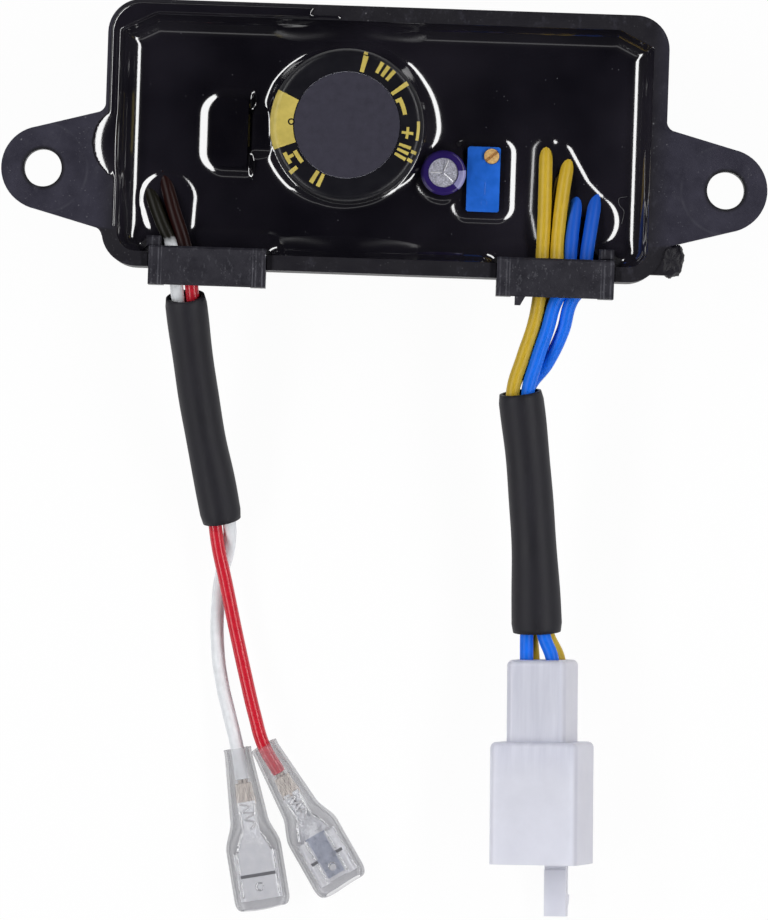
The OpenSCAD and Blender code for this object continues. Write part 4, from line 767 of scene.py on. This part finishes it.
def mouldedPlastic(name, look):
    shared = mouldedLook
    finish = Finish(name)
    mottle = finish.noise(look["mottle"], 5, 0.6)
    base = finish.clouded(mottle, look["colour"], *shared["tones"])
    scuff = finish.noise(1, 3, 0.7, finish.stretched(look["scuffScale"], look["scuffTurn"]))
    scuffsAndHighlights = finish.spread(scuff, look["scuffFrom"], look["scuffFrom"] + shared["scuffSoft"], 0, look["scuff"])
    outward = finish.math("ABSOLUTE", finish.axis("X"))
    if "earRing" in look:  # the tray and its stubs are darker than its ears
        onTray = finish.spread(outward, *metres(*look["trayEnd"]), 1, 0)
        onStub = finish.spread(finish.axis("Y"), *metres(*look["stubEnd"]), 1, 0)
        base = finish.mix(finish.math("MAXIMUM", onTray, onStub), base, look["rimColour"])
        base, scuffsAndHighlights = markEars(finish, look, outward, base, scuffsAndHighlights)
    # painted highlight lines near the clamp ends
    if "highlightLines" in look:
        scuffsAndHighlights = paintEndHighlights(finish, look, outward, scuffsAndHighlights)
    coarse = finish.specks(look["dustScale"], look["dustSize"], *shared["dustPatch"], look["dust"])
    if "dustRight" in look:  # less of it on the right
        share = finish.spread(finish.axis("X"), *metres(*look["dustEdge"]), 1, look["dustRight"])
        coarse = finish.math("MULTIPLY", coarse, share)
    finer, size, less = shared["smallDust"]
    small = finish.specks(finer * look["dustScale"], size, *shared["smallPatch"], less * look["dust"])
    dust = finish.math("MAXIMUM", coarse, small)
    # pale scuffs, the ear's mould line and the clamps' painted highlight lines all take the scuff colour
    surface = finish.mix(scuffsAndHighlights, base, look["scuffAndHighlightColour"])
    finish.put(colour=finish.mix(dust, surface, shared["dustColour"]), specular=look["specular"],
               roughness=finish.roughAround(mottle, look["rough"], shared["roughVary"]))
    return finish.grain(look["grain"], 3, look["bump"], shared["grainDepth"], 0.7).material


casePlastic = mouldedPlastic("case_moulded", caseLook)
clampPlastic = mouldedPlastic("clamp_moulded", clampLook)

# plain finishes for the parts in the resin, the metal and the plug
plainLook = {"roughVary": 0.06, "grain": 2400, "grainDepth": 0.00004}


def simpleFinish(name, colour, cloudScale, rough, grain=0.15, vary=0.12, along=None, **sockets):
    finish = Finish(name)
    cloud = finish.noise(cloudScale, 4, 0.6, along and finish.stretched(along))
    finish.put(colour=finish.clouded(cloud, colour, 1 - vary, 1 + vary),
               roughness=finish.roughAround(cloud, rough, plainLook["roughVary"]), **sockets)
    return finish.grain(plainLook["grain"], 3, grain, plainLook["grainDepth"]).material


plainFinishes = {  # colour, scale of the clouds, roughness, and what else differs
    "shrink_film_black": ((0.0072, 0.007, 0.010), 300, 0.32, {"specular": 0.3}),
    "end_disc_fibre": ((0.029, 0.027, 0.043), 900, 0.62, {"grain": 0.3, "specular": 0.3}),
    "shrink_film_violet": ((0.03, 0.016, 0.13), 500, 0.2, {}),
    "can_metal": ((0.58, 0.58, 0.68), 5200, 0.42, {"vary": 0.5, "metallic": 0.3}),
    "lead_metal": ((0.55, 0.55, 0.56), 900, 0.35, {"metallic": 1.0}),
    "trimmer_plastic": ((0.007, 0.12, 0.60), 700, 0.42, {}),
    "screw_brass": ((0.86, 0.50, 0.20), 2500, 0.36, {"vary": 0.3, "metallic": 0.3}),
    "device_black": ((0.012, 0.012, 0.013), 700, 0.5, {}),
    "board_laminate": ((0.25, 0.16, 0.04), 300, 0.55, {}),
    "resistor_lacquer": ((0.5, 0.36, 0.2), 600, 0.4, {}),
    "strand_copper": ((0.62, 0.555, 0.505), 1, 0.3, {"vary": 0.3, "along": (5200, 500, 2400), "metallic": 0.2}),
    "contact_brass": ((0.6, 0.4, 0.14), 900, 0.34, {"metallic": 1.0}),
    "print_yellow": ((0.50, 0.40, 0.095), 700, 0.4, {"specular": 0.3}),
    "print_pale": ((0.30, 0.29, 0.52), 900, 0.35, {}),
    "pale_tin": ((0.93, 0.93, 0.95), 1800, 0.2, {"metallic": 0.45, "specular": 0.9}),
    "bright_tin": ((0.95, 0.95, 0.97), 1800, 0.24, {"metallic": 0.9}),
    "blue_tin": ((0.46, 0.50, 0.62), 1100, 0.3, {"vary": 0.2, "metallic": 0.1}),
    "slot_shade": ((0.03, 0.03, 0.034), 900, 0.5, {}),
    "vent_painted_highlight": ((0.85, 0.85, 0.90), 1500, 0.3, {"metallic": 0.2}),
    "fibre": ((0.05, 0.05, 0.055), 900, 0.6, {}),
}
plain = {name: simpleFinish(name, *look, **more) for name, (*look, more) in plainFinishes.items()}
tinLook = {
    "dark": (0.84, 0.85, 0.90), "pale": (0.97, 0.97, 1.0), "cloud": 900, "rough": (0.16, 0.28),
    "metallic": 0.12, "dents": 1100, "dentShow": (0.08, 1), "dentDepth": (0.9, 0.0006),
    "pressedAt": (-103.5, -100.5),
}
plugLook = {
    "colour": (0.70, 0.71, 0.81), "cloud": 260, "tones": (0.97, 1.03), "rough": (0.3, 0.42), "bump": 0.15,
    "wireEnd": (0.59, 0.60, 0.70), "wireEndAt": (-91.5, -86.6), "streakScale": (900, 60, 900),
    # side: painted shade colour for the faces that turn to the right
    "streakShow": (0.35, 0.65, 0.3, 1), "side": (0.56, 0.56, 0.64), "rightSideShadeShow": (0.15, 0.6, 0, 1),
    "subsurface": 0.35, "subsurfaceScale": 0.004, "subsurfaceRadius": (1.0, 1.0, 1.0),
}


def crimpedTin():
    # smooth sheet, dented where the barrel is pressed
    finish = Finish("tinned_sheet")
    cloud = finish.noise(tinLook["cloud"], 4, 0.6)
    finish.put(colour=finish.mix(finish.between(cloud, 0, 1), tinLook["dark"], tinLook["pale"]),
               roughness=finish.between(cloud, *tinLook["rough"]), metallic=tinLook["metallic"])
    pressed = finish.spread(finish.axis("Y"), *metres(*tinLook["pressedAt"]), *tinLook["dentShow"])
    dents = finish.math("MULTIPLY", finish.noise(tinLook["dents"], 3, 0.6), pressed)
    return finish.bump(dents, *tinLook["dentDepth"]).material


def milkyNylon():
    # greyer where the wires go in, and painted shade on the sides that face right
    look = plugLook
    finish = Finish("plug_nylon")
    cloud = finish.noise(look["cloud"], 4, 0.6)
    base = finish.clouded(cloud, look["colour"], *look["tones"])
    streak = finish.spread(finish.noise(1, 3, 0.6, finish.stretched(look["streakScale"])), *look["streakShow"])
    wireEnd = finish.spread(finish.axis("Y"), *metres(*look["wireEndAt"]), 0, 1)
    base = finish.mix(finish.math("MULTIPLY", wireEnd, streak), base, look["wireEnd"])
    # painted shade: faces turned to the right are greyed by their normal
    facingRight = finish.axis("X", finish.node("NewGeometry").outputs["Normal"])
    base = finish.mix(finish.spread(facingRight, *look["rightSideShadeShow"]), base, look["side"])
    finish.put(colour=base, roughness=finish.between(cloud, *look["rough"]),
               **{key: look[key] for key in ("subsurface", "subsurfaceScale", "subsurfaceRadius")})
    return finish.grain(plainLook["grain"], 3, look["bump"], plainLook["grainDepth"]).material


cadFinishes = [  # finish, width of the softened edges, and the pieces that have them
    (casePlastic, 0.25, ["case"]), (clampPlastic, 0.12, ["wire_clamp_left", "wire_clamp_right"]),
    (resinFinish, 0.4, ["film_capacitor"]), (milkyNylon(), 0.35, ["plug_housing"]),
    (crimpedTin(), 0.08, ["spade_white", "spade_red"]), (plain["contact_brass"], 0.08, ["plug_contacts"]),
    (plain["shrink_film_black"], 0, ["main_capacitor_sleeve"]),
    (plain["end_disc_fibre"], 0.04, ["main_capacitor_end_disc"]),
    (plain["can_metal"], 0, ["main_capacitor_can"]), (plain["can_metal"], 0.03, ["small_capacitor_can"]),
    (plain["shrink_film_violet"], 0, ["small_capacitor_sleeve"]),
    (plain["trimmer_plastic"], 0.12, ["trimmer_housing"]), (plain["screw_brass"], 0.08, ["trimmer_screw"]),
    (plain["lead_metal"], 0, ["main_capacitor_pins", "small_capacitor_leads", "trimmer_pins",
                              "film_capacitor_leads", "power_transistor_tab", "power_transistor_leads"]),
    (plain["device_black"], 0, ["power_transistor_body", "rectifier_diodes", "driver_transistor"]),
    (plain["resistor_lacquer"], 0, ["resistors"]), (plain["board_laminate"], 0, ["circuit_board"]),
    (plain["strand_copper"], 0, ["strands_white", "strands_red"]),
]
for material, edge, names in cadFinishes:
    for name in names:
        paintNode(name, material, edge)
print("finishes set")

# print on the capacitors: plain yellow bars and a field of yellow, and a pale field on the small one
capPrint = {
    "main": {"at": (-5.7, 3.75), "top": 26.6, "outer": 11.2, "edge": 1.2},
    "small": {"at": (8.6, -2.45), "top": 17.15, "outer": 3.3, "edge": 0.5},
    "lift": 0.03, "field": (154.5, 200.5, 7.85, 14.5), "paleField": (-46, 8, 2.25, 3.9),
    "notch": (178.5, 8.1, 0.3, 0.5),
    "marks": [  # angle, radius, then bars as left, right, inner and outer edges
        (76.3, 9.24, [(-0.34, 0.34, -1.25, 1.2)]), (77, 10.85, [(-0.3, 0.3, -0.25, 0.3)]),
        (56.3, 9.6, [(-1.25, -0.7, -0.9, 0.9), (-0.28, 0.28, -0.9, 0.9), (0.7, 1.25, -0.9, 0.9)]),
        (36.4, 9.3, [(-0.3, 0.3, -1.4, 1.5)]),
        (20.6, 8.6, [(-1.3, 1.3, -0.3, 0.3), (0.75, 1.3, -0.7, -0.3)]),
        (-5.6, 8.9, [(-0.85, 0.85, -0.2, 0.2), (-0.2, 0.2, -0.85, -0.2), (-0.2, 0.2, 0.2, 0.85)]),
        (-23.4, 9.0, [(-1.05, -0.6, -0.9, 0.9), (-0.22, 0.22, -0.9, 0.9), (0.6, 1.05, -0.9, 0.9)]),
        (-3, 10.4, [(-1.4, 1.4, -0.2, 0.25)]), (-24, 10.6, [(-0.9, -0.4, -0.5, 0.4), (0.4, 0.9, -0.5, 0.4)]),
        (211, 9.9, [(-0.9, 0.9, -0.25, 0.3), (-0.25, 0.25, -1.0, -0.25)]),
        (222, 10.3, [(-0.3, 0.3, -0.8, 0.6)]), (215, 8.45, [(-1.0, 1.0, -0.3, 0.3)]),
        (243.4, 8.9, [(-0.85, -0.25, -1.0, 1.0), (0.2, 0.75, -1.0, 1.0)])],
}


def onCap(look, radius, angle, lift):
    # point on the sleeve: flat end, round edge, then down the side as the radius grows past the outside
    flat = look["outer"] - look["edge"]
    quarter = look["edge"] * math.pi / 2
    turn = min(max(radius - flat, 0), quarter) / look["edge"]
    down = max(0, radius - flat - quarter)
    reach = min(radius, flat) + math.sin(turn) * (look["edge"] + lift) * (radius > flat)
    height = look["top"] - look["edge"] * (1 - math.cos(turn)) - down + lift * math.cos(turn)
    return Vector((look["at"][0] + reach * math.cos(angle), look["at"][1] + reach * math.sin(angle), height))


def patchOnCap(look, low, high, inner, outer, angleOf, steps=(24, 10)):
    across, along = steps
    points = []
    for i in range(across + 1):
        side = low + (high - low) * i / across
        for j in range(along + 1):
            radius = inner + (outer - inner) * j / along
            points.append(onCap(look, radius, angleOf(side), capPrint["lift"]) * mm)
    corners = [i * (along + 1) + j for i in range(across) for j in range(along)]
    return points, [(a, a + 1, a + along + 2, a + along + 1) for a in corners]


def printCaps():
    main, small = capPrint["main"], capPrint["small"]
    patches = [patchOnCap(main, *capPrint["field"], math.radians, (24, 44))]
    for angle, radius, bars in capPrint["marks"]:
        for left, right, inner, outer in bars:
            patches.append(patchOnCap(main, left, right, radius + inner, radius + outer,
                                      lambda side, a=angle, r=radius: math.radians(a) + side / r, (4, 6)))
    dress(addPiece("capacitor_print", *joined(patches)), plain["print_yellow"])
    dress(addPiece("small_capacitor_print", *patchOnCap(small, *capPrint["paleField"], math.radians)),
          plain["print_pale"])
    angle, radius, hole, rim = capPrint["notch"]
    centre = onCap(main, radius, math.radians(angle), 2 * capPrint["lift"])
    dress(addPiece("capacitor_print_notch", *flatRing(centre, [(hole, 0), (rim, 0)])),
          plain["shrink_film_black"])


printCaps()
print("capacitors printed")

# crimps: the strands fan out flat under the pressed wings of the barrel, and the rolled edges shine
crimpLook = {
    "strands": 11, "fanHalf": 1.32, "fanNeck": 0.8, "fanY": (5.2, 8.5), "fanSteps": 4, "strandR": 0.15,
    "up": {"white": 0.72, "red": 0.98}, "arch": 0.22, "strandWander": 0.05, "wanderTurns": (9, 2),
    "folds": [(-1.05, 8.3), (0.35, 8.8), (-0.85, 9.5), (0.95, 9.9), (-0.55, 10.6), (0.75, 11.2), (0.1, 12.2)],
    "edges": [(1.15, 8.4, 12.6), (-1.2, 9.2, 12.9)], "edgeIn": 0.9, "edgeDrop": (0.1, 0.25),
    "foldR": 0.16, "foldUp": {"white": 1.0, "red": 1.3},
    "slotY": (18.7, 19.2), "slotHalf": 2.75, "slotFrom": 1.55,
    "slotUp": {"white": (0.2, 0.8), "red": (-0.75, 0.6)},
    "floorY": (15.4, 22.1), "floorHalf": 1.62, "floorUp": -0.53, "floorThick": 0.1,
    "dimpleY": 20.7, "dimpleR": 0.55, "dimpleEdge": 0.14, "dimpleUp": {"white": 0.95, "red": -0.53},
    "rolls": {  # lines of the rolled edges as side, height and radius, and of the wings behind them
        "white": [(-2.62, 0.86, 0.2), (-3.05, 0.35, 0.14), (2.75, 0.8, 0.12)],
        "red": [(-1.72, 0.9, 0.2), (1.72, 0.9, 0.16), (-3.0, 0.4, 0.14), (2.95, 0.5, 0.14)]},
    "rollY": [(15.3, 18.6), (19.3, 22.1)],
    "wings": {"white": [(-1.1, -2.45, 0.95, 0.26), (1.15, 2.5, 0.95, 0.14)],
              "red": [(-1.15, -2.5, 0.55, 0.24), (1.15, 2.5, 0.6, 0.2)]},
    "wingY": (12.2, 15.2), "wingDrop": (0.3, 0.05), "wingBow": 0.3,
}
thread = {"step": 0.25, "sides": 8, "core": 3}  # a thread is a tube with a thin core


def threadMesh(points, radius):
    line = smoothLine(points, thread["step"])
    core = radius / thread["core"]
    return tubeMesh(line, lambda i, n: (radius, radius), lambda i, n: (core, core), thread["sides"])


def bundle(name, which, lines):
    # round threads, each given as its points and its radius
    place = coverFrame(which)
    return addPiece(name + which, *joined(threadMesh([place @ Vector(p) for p in line], radius)
                                          for line, radius in lines))


def fanStrands(which):
    look, (start, end) = crimpLook, crimpLook["fanY"]
    turns, perStrand = look["wanderTurns"]
    fan = []
    for k in range(look["strands"]):
        side = 2 * k / (look["strands"] - 1) - 1
        up = look["up"][which] - look["arch"] * side * side
        line = []
        for t in (step / look["fanSteps"] for step in range(look["fanSteps"] + 1)):
            half = look["fanHalf"] * (look["fanNeck"] + (1 - look["fanNeck"]) * t)
            wander = look["strandWander"] * math.sin(turns * t + perStrand * k)
            line.append((side * half + wander, -start - (end - start) * t, up))
        fan.append((line, look["strandR"]))
    return dress(bundle("crimp_strands_", which, fan), plain["strand_copper"])


def pressFolds(which):
    look, up = crimpLook, crimpLook["foldUp"][which]
    near, far = look["edgeDrop"]
    lines = [([(x, -y, up) for x, y in look["folds"]], look["foldR"])]
    lines += [([(x, -a, up - near), (x * look["edgeIn"], -(a + b) / 2, up), (x, -b, up - far)], look["foldR"])
              for x, a, b in look["edges"]]
    return dress(bundle("crimp_folds_", which, lines), plain["pale_tin"])


def rollEdges(which):
    look = crimpLook
    (near, far), (nearDrop, farDrop) = look["wingY"], look["wingDrop"]
    bowed = -(near + far) / 2 + look["wingBow"]
    lines = [([(x, -a, z), (x, -(a + b) / 2, z), (x, -b, z)], radius)
             for x, z, radius in look["rolls"][which] for a, b in look["rollY"]]
    lines += [([(a, -near, z - nearDrop), ((a + b) / 2, bowed, z), (b, -far, z - farDrop)], radius)
              for a, b, z, radius in look["wings"][which]]
    dimple = [(look["dimpleR"] * math.cos(k / 2), -look["dimpleY"] + look["dimpleR"] * math.sin(k / 2),
               look["dimpleUp"][which]) for k in range(13)]
    lines.append((dimple, look["dimpleEdge"]))
    return dress(bundle("spade_rolls_", which, lines), plain["bright_tin"])


def slab(place, left, right, near, far, low, high):
    points = [(place @ Vector((x, -y, up))) * mm for up in (low, high)
              for x, y in ((left, near), (right, near), (right, far), (left, far))]
    return points, [(0, 1, 2, 3), (7, 6, 5, 4), (0, 4, 5, 1), (1, 5, 6, 2), (2, 6, 7, 3), (3, 7, 4, 0)]


def slabs(name, which, spans, material):
    # thin slabs given by their left, right, near, far, low and high sides
    place = coverFrame(which)
    piece = addPiece(name + which, *joined(slab(place, *span) for span in spans), smooth=False)
    return dress(piece, material)


def pressCrimp(which):
    look = crimpLook
    half, inner = look["slotHalf"], look["slotFrom"]
    sides = [(-half, half)] if which == "white" else [(-half, -inner), (inner, half)]
    # painted shade: dark slabs fill the slots, where only the shade inside them shows
    slots = [(a, b, *look["slotY"], *look["slotUp"][which]) for a, b in sides]
    made = [fanStrands(which), pressFolds(which), rollEdges(which),
            slabs("spade_slot_shade_", which, slots, plain["slot_shade"])]
    if which == "red":  # its open side shows the floor between the rolled edges
        half, up = look["floorHalf"], look["floorUp"]
        floor = (-half, half, *look["floorY"], up - look["floorThick"], up)
        made.append(slabs("spade_floor_", which, [floor], plain["blue_tin"]))
    return made


crimps = {which: pressCrimp(which) for which in ("white", "red")}
print("crimps pressed")

plugEnd = ["plug_housing", "plug_contacts"]
cordFacts = {
    "white": ("connector", [covers["white"], "spade_white", "strands_white", *crimps["white"]]),
    "red": ("connector", [covers["red"], "spade_red", "strands_red", sleeves["left"], *crimps["red"]]),
    "yellow_1": ("plug", [*plugEnd, sleeves["right"]]),
    "yellow_2": ("plug", plugEnd), "blue_1": ("plug", plugEnd), "blue_2": ("plug", plugEnd),
}
for wireName, (farEnd, pieces) in cordFacts.items():
    route = wireRoutes[wireName]
    routeLength(route)
    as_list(pieces)

# fine details: edges of the vent, marks on the trimmer, a fibre on the resin, feet of the clamps, a torn stub
fine = {
    "ventAt": (8.6, -2.45, 17.02), "ventTurns": (69, 180, -39.5), "ventLength": 1.95, "ventWide": 0.2,
    "ridgeFrom": 0.15, "markTop": 16.02, "markBar": (14.78, -4.6, 0.16, 2.0),
    "markRing": (14.68, -6.6, 0.36, 0.5), "markRise": 0.03,
    "fibre": [(35.7, -5), (34.5, -5.3), (34.6, -6.3), (35.3, -7.2), (35.0, -9)], "fibreR": 0.05,
    "feet": [(-33.4, -13.85), (32.9, -13.7)], "footHalf": (1.1, 0.8), "footTop": 17.3, "footLow": 13.5,
    "footBevel": 0.25,
    "stubAt": (42.4, -14.15, 16.2), "stubHalf": (1.72, 2.35, 1.72), "stubSquare": 3, "stubRings": (40, 24),
    # lumps as size, turns round, turns up and start
    "stubLumps": [(0.07, 3, 2, 0.4), (0.06, 7, -3, 1.0), (0.045, 12, 7, 2.0)],
}


def ridge(start, turn, length, wide):
    # low bar with a sharp back, from a point along a direction
    way = Vector((math.cos(turn), math.sin(turn), 0))
    side = Vector((-way.y, way.x, 0)) * wide / 2
    points = []
    for along in (fine["ridgeFrom"], length):
        middle = Vector(start) + way * along
        points += [(middle - side) * mm, (middle + Vector((0, 0, wide / 3))) * mm, (middle + side) * mm]
    return points, [(0, 3, 4, 1), (1, 4, 5, 2)]


def addVentAndMarks():
    vent = joined(ridge(fine["ventAt"], math.radians(turn), fine["ventLength"], fine["ventWide"])
                  for turn in fine["ventTurns"])
    # painted highlight: the vent's ridges are paler than the can, for the light its scored edges catch
    dress(addPiece("vent_edges", *vent, smooth=False), plain["vent_painted_highlight"])
    x, y, wide, length = fine["markBar"]
    bar = ridge((x, y - length / 2, fine["markTop"]), math.pi / 2, length, wide)
    x, y, hole, rim = fine["markRing"]
    ring = flatRing((x, y, fine["markTop"]), [(hole, 0), ((hole + rim) / 2, fine["markRise"]), (rim, 0)])
    dress(addPiece("trimmer_marks", *joined([bar, ring])), plain["trimmer_plastic"])


def layFibre():
    radius = fine["fibreR"]
    line = [(x, y, resinTop(np.array([x]), np.array([y]))[0][0] + radius) for x, y in fine["fibre"]]
    dress(addPiece("fibre_on_resin", *threadMesh(line, radius)), plain["fibre"])


def addFoot(name, x, y):
    halfX, halfY = fine["footHalf"]
    bevel, top = fine["footBevel"], fine["footTop"]
    points = []
    for height, inset in ((fine["footLow"], 0), (top - bevel, 0), (top, bevel)):
        w, d = halfX - inset, halfY - inset
        points += [Vector((x + a, y + b, height)) * mm for a, b in ((-w, -d), (w, -d), (w, d), (-w, d))]
    faces = [(8, 9, 10, 11), (3, 2, 1, 0), *ringFaces(3, 4)]
    dress(addPiece(name, points, faces, smooth=False), clampPlastic)


def tearStub():
    # lumpy skin over the gate stub, where the moulding was twisted off
    around, upwards = fine["stubRings"]
    power = fine["stubSquare"]
    points = []
    for j in range(upwards + 1):
        rise = math.pi * (j / upwards - 0.5)
        for k in range(around):
            turn = 2 * math.pi * k / around
            way = Vector((math.cos(rise) * math.cos(turn), math.cos(rise) * math.sin(turn), math.sin(rise)))
            square = sum(abs(part) ** power for part in way) ** (-1 / power)
            lump = sum(size * math.sin(times * turn + up * rise + start)
                       for size, times, up, start in fine["stubLumps"]) * math.cos(rise)
            points.append((Vector(fine["stubAt"]) + way * Vector(fine["stubHalf"]) * square * (1 + lump)) * mm)
    dress(addPiece("stub_torn", points, ringFaces(upwards + 1, around)), casePlastic)


addVentAndMarks()
layFibre()
for number, (x, y) in enumerate(fine["feet"], 1):
    addFoot("clamp_foot_%d" % number, x, y)
tearStub()
print("fine details added")

# stage: white floor that keeps a faint shadow, and a dim room that is dark straight above
stageLook = {
    "floorHalf": 3.0, "floorDrop": 0.0002, "floorColour": (0.86, 0.86, 0.87), "floorRough": 0.9,
    "floorGloss": 0.1, "lift": 0.96, "room": 0.0260, "roomTop": 0.00050, "darkAt": (0.72, 0.9),
    "farDim": 0.3, "farAt": (0.1, 0.55),
}


def whiteStage():
    finish = Finish("white_floor")
    finish.put(colour=stageLook["floorColour"], roughness=stageLook["floorRough"],
               specular=stageLook["floorGloss"])
    path = finish.node("LightPath").outputs
    mirrored = finish.math("MAXIMUM", path["Is Glossy Ray"], path["Is Transmission Ray"])
    seen = finish.math("MAXIMUM", path["Is Camera Ray"], mirrored)
    glow = finish.node("Emission").outputs[0]
    blend = finish.node("MixShader", {0: finish.math("MULTIPLY", seen, stageLook["lift"]),
                                      1: finish.shader.outputs[0], 2: glow})
    finish.fill(finish.tree.nodes["Material Output"].inputs["Surface"], blend.outputs[0])
    half, low = stageLook["floorHalf"], -stageLook["floorDrop"]  # just clear of the tray's back
    corners = [(-half, -half, low), (half, -half, low), (half, half, low), (-half, half, low)]
    floor = addPiece("floor", corners, [(0, 1, 2, 3)], smooth=False)
    floor.data.materials.append(finish.material)


def dimRoom():
    world = bpy.data.worlds.new("room")
    scene.world = world
    world.use_nodes = True
    room = NodeKit(world.node_tree, "Generated")
    above = room.spread(room.axis("Z"), *stageLook["darkAt"], stageLook["room"], stageLook["roomTop"],
                        interpolation_type="SMOOTHSTEP")
    far = room.spread(room.axis("Y"), *stageLook["farAt"], 1, stageLook["farDim"])
    seen = room.node("LightPath").outputs["Is Camera Ray"]
    back = room.tree.nodes["Background"].inputs
    room.fill(back["Color"], (1, 1, 1))
    room.fill(back["Strength"], room.math("MAXIMUM", room.math("MULTIPLY", above, far), seen))


# long strip lamps on the left and right, and a weak one on the lead side
sideStrip = {"polar": 46, "reach": 0.62, "wide": 0.13, "long": 1.5, "radiance": 7.9}
stripLamps = {
    "rightStrip": {**sideStrip, "azimuth": 0}, "leftStrip": {**sideStrip, "azimuth": 180},
    "nearStrip": {"polar": 46, "azimuth": -90, "reach": 0.7, "wide": 0.06, "long": 0.8, "radiance": 0.6},
}
lampAim = Vector((0, -30, 15)) * mm


def hangLamp(name, look):
    data = bpy.data.lights.new(name, "AREA")
    data.shape = "RECTANGLE"
    data.size, data.size_y = look["long"], look["wide"]
    data.energy = look["radiance"] * math.pi * look["long"] * look["wide"]
    polar, azimuth = math.radians(look["polar"]), math.radians(look["azimuth"])
    away = Vector((math.sin(polar) * math.cos(azimuth), math.sin(polar) * math.sin(azimuth), math.cos(polar)))
    lamp = bpy.data.objects.new(name, data)
    lamp.location = lampAim + away * look["reach"]
    lamp.rotation_euler = (-away).to_track_quat("-Z", "Y").to_euler()
    scene.collection.objects.link(lamp)


whiteStage()
dimRoom()
for name, look in stripLamps.items():
    hangLamp(name, look)
print("stage lit")
